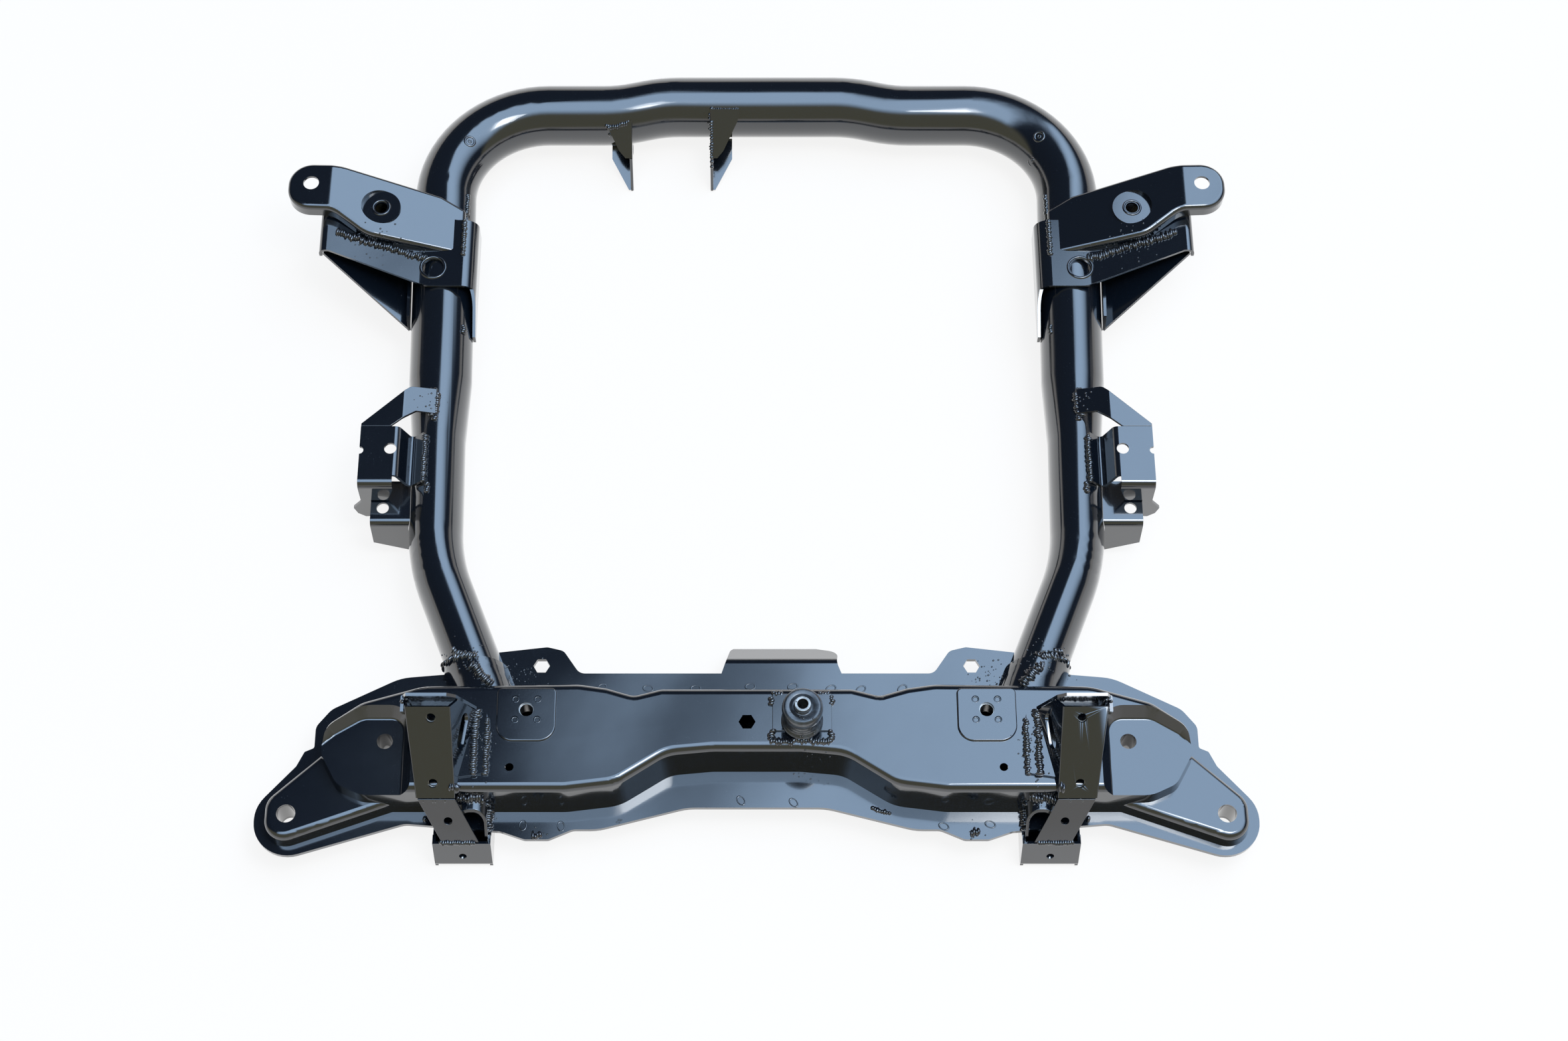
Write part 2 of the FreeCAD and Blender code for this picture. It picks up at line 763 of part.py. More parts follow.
def rack_pad(inset):
    """Makes the raised pad round the left rack bolt hole."""
    half = size("rack_pad_size") / 2
    x, front = -size("rack_half"), ahead("beam_front_ahead") - 3
    rear = ahead("rack_ahead") - half - 4
    crest = size("plateau_height") + size("rack_pad_depth")
    return pressed(grown([
        (x + half, front, 5),
        (x - half, front, 5),
        (x - half, rear, 16),
        (x + half, rear, 16),
    ], -inset), crest - inset, crest - 12, 1.5)


def weld_dimples():
    """Gives the four shallow marks round the left rack bolt hole."""
    half = size("dimple_pitch") / 2
    crest = size("plateau_height") + size("rack_pad_depth")
    return [upright(-size("rack_half") + dx * half, ahead("rack_ahead") + dy * half,
                    size("dimple_radius"), crest - size("dimple_depth"), crest + 1)
            for dx in (-1, 1) for dy in (-1, 1)]


# Front body mounts

def boundary_edges(solid):
    """Gives the edges round the outside of a solid's upward faces."""
    found = {}
    for face in solid.Faces:
        u, v = [(a + b) / 2 for a, b in zip(face.ParameterRange[::2], face.ParameterRange[1::2])]
        if face.normalAt(u, v).z < 0.7:
            continue
        for edge in face.Edges:
            middle = edge.valueAt((edge.FirstParameter + edge.LastParameter) / 2)
            key = (round(middle.x, 3), round(middle.y, 3), round(middle.z, 3))
            found.setdefault(key, []).append(edge)
    return [edges[0] for edges in found.values() if len(edges) == 1]


def front_shell_height(x):
    """Gives the height of the front mount's upper face at x, left side."""
    bend, end = -size("front_ear_bend_half"), -size("front_shell_end_half")
    fall = (size("front_shell_end_height") - size("front_ear_height")) / (end - bend)
    return size("front_ear_height") + max(0, x - bend) * fall


def front_shell_outline():
    """Gives the plan of the left front mount's upper shell."""
    tip = -size("front_ear_tip_half")
    end = -size("front_shell_end_half")
    front = ahead("front_shell_front_ahead")
    return [
        (end, ahead("front_shell_end_front_ahead"), 5),
        (end - 26, ahead("front_shell_end_front_ahead") + 14, 12),
        (-size("front_ear_bend_half") + 10, front, 40),
        (tip, front + 1, 25),
        (tip, ahead("front_shell_tip_rear_ahead"), 25),
        (-size("front_ear_bend_half") + 4, ahead("front_shell_tip_rear_ahead") - 2, 26),
        (-size("front_ear_bend_half") + 38, ahead("front_shell_end_rear_ahead") + 9, 36),
        (end, ahead("front_shell_end_rear_ahead") - 2, 5),
    ]


def front_shell_skin(inset, skirt):
    """Makes the form of the upper shell of a front mount, bent down from the ear to the rail."""
    bend = -size("front_ear_bend_half")
    left, right = -size("front_ear_tip_half") - 20, -size("front_shell_end_half") + 20
    top = size("front_ear_height") - inset
    profile = [
        (left, top, 0),
        (left, top - skirt, 0),
        (bend, top - skirt, 20),
        (right, front_shell_height(right) - inset - skirt, 0),
        (right, front_shell_height(right) - inset, 0),
        (bend, top, 20 + inset),
    ]
    band = Part.Face(outline_wire(profile)).extrude(Vector(0, 0, 200))
    band.rotate(Vector(0, 0, 0), Vector(1, 0, 0), 90)
    band.translate(Vector(0, ahead("front_shell_front_ahead") + 60, 0))
    plan = slab(grown(front_shell_outline(), -inset), 20, size("front_ear_height") + 20)
    form = plan.common(band).removeSplitter()
    if not inset:
        form = form.makeFillet(size("front_shell_radius"), boundary_edges(form))
    seat = (-size("seat_half"), ahead("seat_ahead"))
    level = front_shell_height(seat[0]) - 1.5 - inset
    form = form.fuse(upright(*seat, size("seat_radius") - inset, level - skirt / 2, level))
    return form.cut(upright(*seat, size("seat_radius") + inset, level, level + 30))


def front_mount_shell():
    """Makes the upper shell of the left front mount: ear, sloping face, bolt seat and skirt."""
    skirt = size("front_shell_skirt")
    shell = front_shell_skin(0, skirt).cut(front_shell_skin(SHEET, skirt * 2))
    high = size("front_ear_height") + 10
    holes = [
        upright(-size("front_ear_half"), ahead("front_ear_ahead"), size("front_ear_hole_radius"), 0, high),
        upright(-size("seat_half"), ahead("seat_ahead"), size("seat_hole_radius"), 0, high),
    ]
    shell = shell.cut(holes + [saddle_space(), TUBE_SPACE])
    return max(shell.Solids, key=lambda solid: solid.Volume)


def saddle_path():
    """Gives the saddle plate seen from behind: over the rail and down its inner side."""
    y = ahead("saddle_rear_mid_ahead")
    wide, tall = tube_half_axes(y)
    over = size("tube_height") + tall + CLEAR + SHEET / 2
    inner = rail_x(y) + wide + CLEAR + SHEET / 2 + 1
    outer = -size("saddle_outer_half")
    return [
        (outer, size("gusset_outer_height") + SHEET / 2 + CLEAR),
        (outer, size("saddle_outer_height"), 6),
        (rail_x(y) - 20, over, 30),
        (inner, over, 14),
        (inner, size("saddle_leg_foot")),
    ]


def bent_line(path):
    """Fills in the missing radii of a path of (u, w) or (u, w, radius) points."""
    return [(point[0], point[1], point[2] if len(point) > 2 else 0) for point in path]


def saddle_space():
    """Makes the space that the saddle plate and what lies under it take from the shell above."""
    path = bent_line(saddle_path())
    lift = SHEET / 2 + CLEAR
    upper = [(u, w + lift, radius) for u, w, radius in path[1:4]]
    corners = [(path[3][0] + lift, path[3][1] + lift, 14), (path[3][0] + lift, 0, 0),
               (path[1][0] - lift, 0, 0), (path[1][0] - lift, upper[0][1], 6), (upper[1][0], upper[1][1], 30)]
    block = Part.Face(outline_wire(corners)).extrude(Vector(0, 0, 200))
    block.rotate(Vector(0, 0, 0), Vector(1, 0, 0), 90)
    block.translate(Vector(0, ahead("saddle_front_ahead") + CLEAR, 0))
    return block


def front_mount_saddle():
    """Makes the saddle plate that lies over the left rail and holds the shell above it."""
    front = ahead("saddle_front_ahead")
    foot = ahead("saddle_leg_rear_ahead")
    mid = ahead("saddle_rear_mid_ahead")
    strip = bent_along_y(saddle_path(), SHEET, 6, foot, front)
    inner = saddle_path()[-1][0]
    outer = -size("saddle_outer_half") - SHEET
    open_rear = slab([
        (outer - 5, foot - 5, 0),
        (inner - 8, foot - 5, 0),
        (inner - 8, mid, 4),
        (inner - 48, mid, 20),
        (outer + 12, ahead("saddle_rear_outer_ahead"), 6),
        (outer - 5, ahead("saddle_rear_outer_ahead"), 0),
    ], 0, 150)
    strip = strip.cut(open_rear)
    high = size("tube_height") + size("tube_outer")
    slope = Part.makePolygon([Vector(inner - 30, foot - 5, high), Vector(inner - 30, foot - 5, size("saddle_leg_foot") + 10),
                              Vector(inner - 30, foot, size("saddle_leg_foot") + 10),
                              Vector(inner - 30, mid, high - 36), Vector(inner - 30, mid, high),
                              Vector(inner - 30, foot - 5, high)])
    strip = strip.cut(Part.Face(slope).extrude(Vector(40, 0, 0)))
    hole = upright(-size("saddle_hole_half"), ahead("saddle_rear_mid_ahead") + 22, size("saddle_hole_radius"),
                   size("tube_height"), 150)
    strip = strip.cut([hole, TUBE_SPACE])
    return max(strip.Solids, key=lambda solid: solid.Volume)


def front_mount_gusset():
    """Makes the plate that closes the left front mount from below, with its front wall."""
    rear_y = ahead("gusset_inner_rear_ahead")
    front = ahead("gusset_front_ahead")
    wide, tall = tube_half_axes(rear_y)
    outer = -size("saddle_outer_half") + SHEET / 2
    high, low = size("gusset_outer_height"), size("gusset_inner_height")
    reach = wide + CLEAR + SHEET / 2
    rear_in = (rail_x(rear_y) - reach, rear_y, low)
    front_in = (rail_x(front - 18) - reach, front - 18, low)
    fall = (low - high) / (rear_in[0] - outer)
    front_out = (outer + 4, front - 2, high + 4 * fall)
    rear_out = (outer, ahead("saddle_rear_outer_ahead") + 4, high)
    front_in = (front_in[0], front_in[1], high + (front_in[0] - outer) * fall)
    under = SHEET * 1.5 + CLEAR
    wall = [front_out, front_in,
            (front_in[0], front_in[1], front_shell_height(front_in[0]) - under),
            (front_out[0], front_out[1], front_shell_height(front_out[0]) - under)]
    lip = size("gusset_tube_flange")
    share = lip / 2 / (front_in[1] - rear_in[1])
    flange = [rear_in, front_in, (front_in[0], front_in[1], front_in[2] + lip),
              (rear_in[0] + (front_in[0] - rear_in[0]) * share, rear_in[1] + lip / 2, rear_in[2] + lip)]
    plate = folded([[rear_out, rear_in, front_in, front_out], wall, flange],
                   [(front_out, front_in), (rear_in, front_in)], SHEET)
    plate = plate.cut([TUBE_SPACE, saddle_solid_space()])
    return max(plate.Solids, key=lambda solid: solid.Volume)


def saddle_solid_space():
    """Makes the saddle plate's own sheet, a clearance thicker, as seen by the gusset below it."""
    return bent_along_y(saddle_path(), SHEET + 2 * CLEAR, 6, ahead("saddle_leg_rear_ahead"),
                        ahead("saddle_front_ahead") + CLEAR)


# Arm brackets on the rails

def tab_points(y):
    """Gives the two ends of a weld tab that lies along the outer shoulder of the left rail."""
    wide, tall = tube_half_axes(y)
    angle = math.radians(size("tab_angle"))
    normal = Vector(-math.cos(angle) / wide, math.sin(angle) / tall, 0).normalize()
    along = Vector(normal.y, -normal.x, 0)
    touch = Vector(rail_x(y) - wide * math.cos(angle), size("tube_height") + tall * math.sin(angle), 0)
    middle = touch + normal * (CLEAR + SHEET / 2 + 0.3)
    half = size("tab_length") / 2
    return [(middle - along * half)[:2], (middle + along * half)[:2]]


def arm_bracket():
    """Makes the left arm bracket: top plate, sloping tab to the rail and rear wall."""
    rear = ahead("arm_bracket_rear_ahead")
    front = ahead("arm_bracket_front_ahead")
    outer = -size("arm_bracket_outer_half")
    bend = -size("arm_bracket_bend_half")
    level = size("arm_bracket_height")
    ear = size("arm_bracket_ear_width")
    path = [(outer, level), (bend, level)] + tab_points((rear + front) / 2)
    top = bent_along_y(path, SHEET, 5, rear + 10, front)
    wall_end = bend - 3
    side = bent_along_x([(front, level), (rear, level), (rear, size("arm_bracket_ear_foot"))],
                        SHEET, 6, outer - ear, wall_end)
    keep = Part.Face(Part.makePolygon([Vector(x, rear - 20, z) for x, z in [
        (outer, level + 10), (wall_end, level + 10), (wall_end, level - 8),
        (wall_end - 7, size("arm_bracket_wall_foot")),
        (outer + 10, size("arm_bracket_wall_foot")), (outer + 10, size("arm_bracket_ear_foot") + 3),
        (outer + 2, size("arm_bracket_ear_foot") - 1), (outer - 6, size("arm_bracket_ear_foot") + 7),
        (outer - ear + 2, size("arm_bracket_ear_foot") + 18), (outer, size("arm_bracket_wall_foot") - 4),
        (outer, level + 10)]])).extrude(Vector(0, front - rear + 40, 0))
    bracket = top.fuse(side.common(keep))
    hole_y = ahead("arm_bracket_hole_ahead")
    holes = [
        upright(-size("arm_bracket_hole_half"), hole_y, size("arm_bracket_hole_radius"), level - 5, level + 5),
        upright(outer, hole_y - 2, size("arm_bracket_notch_radius"), level - 5, level + 5),
    ]
    return bracket.cut(holes + [TUBE_SPACE]).removeSplitter()


def arm_bracket_strap():
    """Makes the strap from the top plate of the left arm bracket up to the rail."""
    start = ahead("arm_bracket_front_ahead") + CLEAR
    tip = ahead("strap_tip_ahead")
    root = ahead("strap_root_ahead")
    outer = -size("arm_bracket_outer_half")
    bend = -size("arm_bracket_bend_half") + 4
    level = size("arm_bracket_height")
    wide, tall = tube_half_axes(root)
    end = rail_x(root)
    path = [(outer, level), (bend, level), (end, size("tube_height") + tall + CLEAR + SHEET / 2)]
    strip = bent_along_y(path, SHEET, 6, start, tip + 4)
    plan = slab([
        (outer, start, 0),
        (bend - 12, start, 3),
        (bend + 12, root, 3),
        (end, root + 1, 0),
        (end, tip + 2, 0),
        (bend + 6, tip, 8),
        (outer, start + 3, 0),
    ], 0, 150)
    return strip.common(plan).cut(TUBE_SPACE)


def arm_bracket_shelf():
    """Makes the lower shelf of the left arm bracket, bent down behind and set against the rail."""
    front = ahead("shelf_front_ahead")
    rear = ahead("shelf_rear_ahead")
    level = size("shelf_height")
    outer = -size("shelf_outer_half")
    path = [(front, level), (rear, level), (rear - 4, size("shelf_foot"))]
    strip = bent_along_x(path, SHEET, 5, outer, rail_x(rear))
    foot = Part.Face(Part.makePolygon([Vector(x, rear - 20, z) for x, z in [
        (outer - 5, 0), (rail_x(rear) + 5, 0), (rail_x(rear) + 5, size("shelf_foot") + 1),
        (outer + 34, size("shelf_foot")), (outer, size("shelf_foot") + 14), (outer - 5, size("shelf_foot") + 14),
        (outer - 5, 0)]])).extrude(Vector(0, 30, 0))
    hole = upright(-size("shelf_hole_half"), ahead("shelf_hole_ahead"), size("shelf_hole_radius"),
                   level - 5, level + 5)
    shelf = strip.cut([foot, hole, TUBE_SPACE])
    return max(shelf.Solids, key=lambda solid: solid.Volume)


# Anti-roll bar brackets

def riser_point(distance, lift=0.0):
    """Gives (y, z) at a distance up the sloping face of the roll bar bracket, lifted off its back."""
    angle = math.radians(size("riser_angle"))
    y = ahead("riser_foot_ahead") + distance * math.cos(angle) + lift * math.sin(angle)
    z = size("riser_foot_height") + distance * math.sin(angle) - lift * math.cos(angle)
    return y, z


def roll_bar_bracket():
    """Makes the left roll bar bracket: sloping face, two side walls and the weld flange."""
    outer, inner = -size("riser_outer_half"), -size("riser_inner_half")
    spread = size("riser_side_spread")
    crest = size("plateau_height")
    rest = crest + SHEET / 2
    low, top = riser_point(0), riser_point(size("riser_length"))
    front = ahead("brace_ahead")
    seat = ahead("beam_rear_ahead") + size("press_radius") + 3
    rear_in, rear_out = (inner, *low), (outer + 8, *low)
    top_in, top_out = (inner - 2, *top), (outer, *top)
    side_in = bracket_wall(rear_in, top_in, (inner + spread, front, rest), seat)
    side_out = bracket_wall(rear_out, top_out, (outer - 2, front, crest), seat)
    edge = inner + spread + size("riser_side_flange")
    flange = [side_in[3], side_in[4], (edge, seat + 4, rest), (edge, front - 3, rest)]
    bracket = folded([[rear_out, rear_in, top_in, top_out], side_in, side_out, flange],
                     [(rear_in, top_in), (rear_out, top_out), (side_in[3], side_in[4])], SHEET)
    below = Part.makeBox(200, 300, crest, Vector(outer - 50, ROW - 100, 0))
    below = below.common(Part.makeBox(200, 300, crest, Vector(outer - 50, ahead("beam_rear_ahead") + 4, 0)))
    window = riser_window(side_in)
    bracket = bracket.cut(riser_holes() + [below, window, UPPER_SPACE])
    return max(bracket.Solids, key=lambda solid: solid.Volume)


def bracket_wall(rear, top, foot, seat):
    """Gives the five corners of a flat side wall: rear and top of the face, front edge and foot line."""
    corner = (foot[1] - 6, top[2] - 12)
    return [rear, top, on_plane([rear, top, foot], *corner), foot, on_plane([rear, top, foot], seat, foot[2])]


def on_plane(points, y, z):
    """Gives the point at y and z on the plane through three points."""
    first, second, third = [Vector(*point) for point in points]
    normal = (second - first).cross(third - second)
    return first.x - (normal.y * (y - first.y) + normal.z * (z - first.z)) / normal.x, y, z


def riser_window(wall):
    """Makes the upright oval window through the inner side wall of the roll bar bracket."""
    y = (wall[3][1] + wall[4][1]) / 2 + 6
    z = size("plateau_height") + 19
    x = (wall[0][0] + wall[3][0]) / 2
    half = (size("riser_window_length") - size("riser_window_width")) / 2
    radius = size("riser_window_width") / 2
    ends = [Vector(x - 14, y - half, z - 2), Vector(x - 14, y + half, z + 2)]
    bars = [Part.makeCylinder(radius, 30, end, Vector(1, 0, 0)) for end in ends]
    across = ends[1] - ends[0]
    up = across.cross(Vector(1, 0, 0)).normalize() * radius
    middle = Part.makePolygon([ends[0] + up, ends[0] - up, ends[1] - up, ends[1] + up, ends[0] + up])
    return bars[0].fuse([bars[1], Part.Face(middle).extrude(Vector(30, 0, 0))])


def riser_hole_line(index):
    """Gives the centre of a bolt hole on the sloping face and the direction into the bracket."""
    distance = size("riser_hole_low") + index * size("riser_hole_pitch")
    y, z = riser_point(distance)
    angle = math.radians(size("riser_angle"))
    x = -(size("riser_outer_half") + size("riser_inner_half")) / 2 + 2
    return Vector(x, y, z), Vector(0, math.sin(angle), -math.cos(angle))


def riser_holes():
    """Gives the two bolt holes of the left roll bar bracket."""
    holes = []
    for index in (0, 1):
        centre, inward = riser_hole_line(index)
        holes.append(bar(centre - inward * 8, centre + inward * 8, size("riser_hole_radius")))
    return holes


def roll_bar_nuts():
    """Makes the weld nuts behind the sloping faces of both roll bar brackets."""
    nuts = []
    for index in (0, 1):
        centre, inward = riser_hole_line(index)
        height = size("riser_nut_height") if index else size("riser_low_nut_height")
        nut = hexagon(0, 0, size("riser_nut_flats"), 0, height)
        nut = nut.cut(upright(0, 0, size("riser_hole_radius") - 0.5, -1, height + 1))
        nut.Placement = FreeCAD.Placement(centre + inward * (SHEET / 2 + CLEAR / 2),
                                          FreeCAD.Rotation(Vector(0, 0, 1), inward))
        nuts += [nut, mirrored(nut)]
    return Part.makeCompound(nuts)


def roll_bar_brace():
    """Makes the brace that closes the left roll bar bracket in front, its lips round the sides."""
    outer, inner = -size("riser_outer_half") - SHEET - 2, -size("riser_inner_half") + 1
    foot = ahead("brace_ahead") + SHEET + 1
    crest = size("plateau_height")
    top = riser_point(size("riser_length"))
    head = (top[0] + 12, top[1])
    lean = (head[0] - foot) / (head[1] - crest)
    web = [(outer - 2, foot, crest - 1), (inner + size("riser_side_spread"), foot, crest - 1),
           (inner + 2, foot + lean * (head[1] - crest - 8), head[1] - 8),
           (inner - 6, head[0], head[1]), (outer + 4, head[0], head[1]),
           (outer, foot + lean * (head[1] - crest - 10), head[1] - 10)]
    web[0] = (web[0][0], foot - lean, crest - 1)
    web[1] = (web[1][0], foot - lean, crest - 1)
    lip = [web[5], (outer - 1, foot + lean * 16, crest + 16), (outer - 1, foot + lean * 16 - 12, crest + 20),
           (web[5][0], web[5][1] - 14, web[5][2] - 2)]
    brace = folded([web], [], SHEET)
    lip[3] = on_plane(lip[:3], *lip[3][1:])
    brace = brace.fuse(folded([lip], [(lip[0], lip[1])], SHEET))
    return brace.cut([Part.makeBox(400, 300, crest, Vector(outer - 100, ROW - 50, 0))]).removeSplitter()


def strap_ends():
    """Gives the top and bottom (y, z) of the strap's middle plane, a clearance from what it meets."""
    top = Vector(0, ahead("riser_foot_ahead"), size("riser_foot_height"))
    low = Vector(0, ahead("strap_foot_ahead"), size("strap_foot_height"))
    step = (top - low).normalize()
    top, low = top - step * (CLEAR + 0.25 * SHEET), low + step * (CLEAR + 0.3 * SHEET)
    return (top.y, top.z), (low.y, low.z)


def roll_bar_strap():
    """Makes the slanting strap from the left bracket's face down to its foot."""
    (top_y, top_z), (low_y, low_z) = strap_ends()
    left = -size("riser_outer_half") + 8
    width, shift = size("strap_width"), size("strap_shift")
    plate = panel([(left, top_y, top_z), (left + shift, low_y, low_z),
                   (left + shift + width, low_y, low_z), (left + width, top_y, top_z)], SHEET)
    middle = Vector(left + (shift + width) / 2, (top_y + low_y) / 2, (top_z + low_z) / 2)
    normal = Vector(0, top_z - low_z, low_y - top_y).normalize()
    return plate.cut(bar(middle - normal * 8, middle + normal * 8, size("riser_hole_radius") - 0.5))


def roll_bar_foot():
    """Makes the left foot: an open box whose sides reach forward under the crossmember's flange."""
    outer, inner = -size("foot_outer_half"), -size("foot_inner_half")
    top_y, top_z = ahead("strap_foot_ahead"), size("strap_foot_height")
    low_y = ahead("foot_rear_ahead") + SHEET / 2
    front = ahead("foot_floor_ahead")
    under = JOINT - WALL - CLEAR
    floor = size("floor_height") - CLEAR
    path = [(top_y, top_z), (low_y, SHEET / 2), (front, SHEET / 2)]
    body = bent_along_x(path, SHEET, 5, outer, inner)
    side = Part.Face(Part.makePolygon([Vector(outer, y, z) for y, z in [
        (top_y, top_z), (low_y, SHEET / 2), (front, SHEET / 2), (front, under), (top_y + 8, under),
        (top_y + 8, top_z), (top_y, top_z)]]))
    sides = [side.extrude(Vector(SHEET, 0, 0))]
    side.translate(Vector(inner - SHEET - outer, 0, 0))
    sides.append(side.extrude(Vector(SHEET, 0, 0)))
    box = body.fuse(sides)
    middle = Vector((outer + inner) / 2, (top_y + low_y) / 2, top_z / 2)
    hole = bar(middle - Vector(0, 12, 2), middle + Vector(0, 12, 2), size("foot_hole_radius"))
    return box.cut([hole, LOWER_SPACE]).removeSplitter()


def roll_bar_arch():
    """Makes the arched gusset between the left foot, the flange and the crossmember's rear wall."""
    outer, inner = -size("arch_outer_half"), -size("arch_inner_half")
    crest = size("arch_height") - SHEET / 2
    base = JOINT + WALL
    path = [(outer, base), (outer, crest), (inner, crest), (inner, base)]
    radius = (inner - outer) / 2 - 1.5
    strip = bent_along_y(path, SHEET, radius, ahead("arch_rear_ahead"), ahead("beam_rear_ahead") + 10)
    (top_y, top_z), (low_y, low_z) = strap_ends()
    reach = SHEET / 2 + CLEAR
    step = Vector(0, top_y - low_y, top_z - low_z).normalize()
    rise = (crest + 20 - low_z) / step.z
    behind = Part.Face(Part.makePolygon([
        Vector(outer - 20, low_y, low_z) + Vector(0, step.z, -step.y) * reach - step * 20,
        Vector(outer - 20, low_y, low_z) + Vector(0, step.z, -step.y) * reach + step * rise,
        Vector(outer - 20, low_y - 60, low_z + 20),
        Vector(outer - 20, low_y, low_z) + Vector(0, step.z, -step.y) * reach - step * 20,
    ])).extrude(Vector(100, 0, 0))
    return strip.cut([behind, UPPER_SPACE])


# Engine mount cheeks

def mount_cheek(x, side):
    """Makes one cheek of the engine mount: a plate under the front tube with two flanges."""
    top = (ahead("front_run_ahead") - 11, size("cheek_top_height"))
    knee = (ahead("cheek_knee_ahead"), size("cheek_knee_height"))
    foot = (ahead("cheek_foot_ahead"), 1.2)
    root = (ahead("front_run_ahead") - 14, 22)
    inside = (ahead("front_run_ahead") + 10, size("tube_height"))
    wide = side * size("cheek_flange")
    narrow = side * size("cheek_flange_foot")

    def along(start, end, share):
        return tuple(a + (b - a) * share for a, b in zip(start, end))

    cheek = [(x, *point) for point in (top, knee, foot, root, inside)]
    upper = [(x, *top), (x + wide, *top), (x + wide * 0.92, *along(top, knee, 0.25)),
             (x + wide * 0.42, *along(top, knee, 0.85)), (x + narrow, *knee), (x, *knee)]
    lower = [(x, *foot), (x + narrow * 0.6, *foot), (x + wide * 0.72, *along(foot, root, 0.6)),
             (x + wide * 0.72, *root), (x, *root)]
    plate = folded([cheek, upper, lower],
                   [((x, *top), (x, *knee)), ((x, *foot), (x, *root)), ((x, *knee), (x, *foot))], SHEET)
    hole = Vector(x - 20, *along(knee, root, 0.45))
    ground = Part.makeBox(200, 200, 40, Vector(x - 100, ahead("cheek_foot_ahead") - 100, -40))
    plate = plate.cut([bar(hole, hole + Vector(40, 0, 0), size("cheek_bolt_radius")), ground, TUBE_SPACE])
    return max(plate.Solids, key=lambda solid: solid.Volume)


# Small turned and flat parts, bound to the sheet

def bound(kind, name, **links):
    """Adds a primitive whose properties are expressions of the sheet."""
    item = doc.addObject(kind, name)
    for key, text in links.items():
        item.setExpression(key.replace("_", "."), text)
    return item


def ring_post(name, x, y, outer, inner, low, high):
    """Adds an upright sleeve: a cylinder with a bore, both bound to the sheet."""
    body = bound("Part::Cylinder", name + "_blank", Radius=outer, Height="(%s) - (%s)" % (high, low),
                 Placement_Base_x=x, Placement_Base_y=y, Placement_Base_z=low)
    bore = bound("Part::Cylinder", name + "_bore", Radius=inner, Height="(%s) - (%s)" % (high, low),
                 Placement_Base_x=x, Placement_Base_y=y, Placement_Base_z=low)
    sleeve = doc.addObject("Part::Cut", name)
    sleeve.Base = body
    sleeve.Tool = bore
    return sleeve


def add_twins(name, left):
    """Adds one sub-part that holds a left-hand piece and its identical right-hand twin."""
    right = doc.addObject("Part::Mirroring", name + "_right")
    right.Source = left
    right.Base = Vector(0, 0, 0)
    right.Normal = Vector(1, 0, 0)
    both = doc.addObject("Part::Compound", name)
    both.Label = name
    both.Links = [left, right]
    SUBPARTS.append(both)


def add_sleeves():
    """Adds the bolt sleeves inside the crossmember."""
    floor = "sizes.floor_height + sizes.shell_wall"
    body = ring_post("left_body_sleeve", "-sizes.ear_hole_half", "-sizes.rear_row_back",
                     "sizes.ear_hole_radius + sizes.sleeve_wall", "sizes.ear_hole_radius",
                     "sizes.ear_floor_height + sizes.shell_wall", "sizes.ear_height - sizes.shell_wall")
    arm = ring_post("left_arm_sleeve", "-sizes.arm_bolt_half",
                    "sizes.arm_bolt_ahead - sizes.rear_row_back",
                    "sizes.arm_bolt_radius + sizes.sleeve_wall", "sizes.arm_bolt_radius",
                    floor, "sizes.pad_height - sizes.shell_wall")
    add_twins("body_bolt_sleeves", body)
    add_twins("arm_bolt_sleeves", arm)


def add_rack_plates():
    """Adds the square nut plates under the rack bolt holes."""
    under = "sizes.plateau_height + sizes.rack_pad_depth - sizes.shell_wall"
    plate = bound("Part::Box", "rack_plate_blank", Length="sizes.rack_plate_size",
                  Width="sizes.rack_plate_size", Height="sizes.bracket_wall",
                  Placement_Base_x="-sizes.rack_half - sizes.rack_plate_size / 2",
                  Placement_Base_y="sizes.rack_ahead - sizes.rear_row_back - sizes.rack_plate_size / 2",
                  Placement_Base_z=under + " - sizes.bracket_wall")
    boss = bound("Part::Prism", "rack_nut_blank",
                 Circumradius="sizes.rack_thread_radius * 1.9", Height="sizes.rack_nut_height",
                 Placement_Base_x="-sizes.rack_half",
                 Placement_Base_y="sizes.rack_ahead - sizes.rear_row_back",
                 Placement_Base_z=under + " - sizes.bracket_wall - sizes.rack_nut_height")
    boss.Polygon = 6
    whole = doc.addObject("Part::Fuse", "rack_nut_whole")
    whole.Base = plate
    whole.Tool = boss
    bore = bound("Part::Cylinder", "rack_nut_bore", Radius="sizes.rack_thread_radius",
                 Height="sizes.rack_nut_height + 2 * sizes.bracket_wall",
                 Placement_Base_x="-sizes.rack_half",
                 Placement_Base_y="sizes.rack_ahead - sizes.rear_row_back",
                 Placement_Base_z=under + " - 1.5 * sizes.bracket_wall - sizes.rack_nut_height")
    nut = doc.addObject("Part::Cut", "left_rack_nut")
    nut.Base = whole
    nut.Tool = bore
    add_twins("rack_nut_plates", nut)


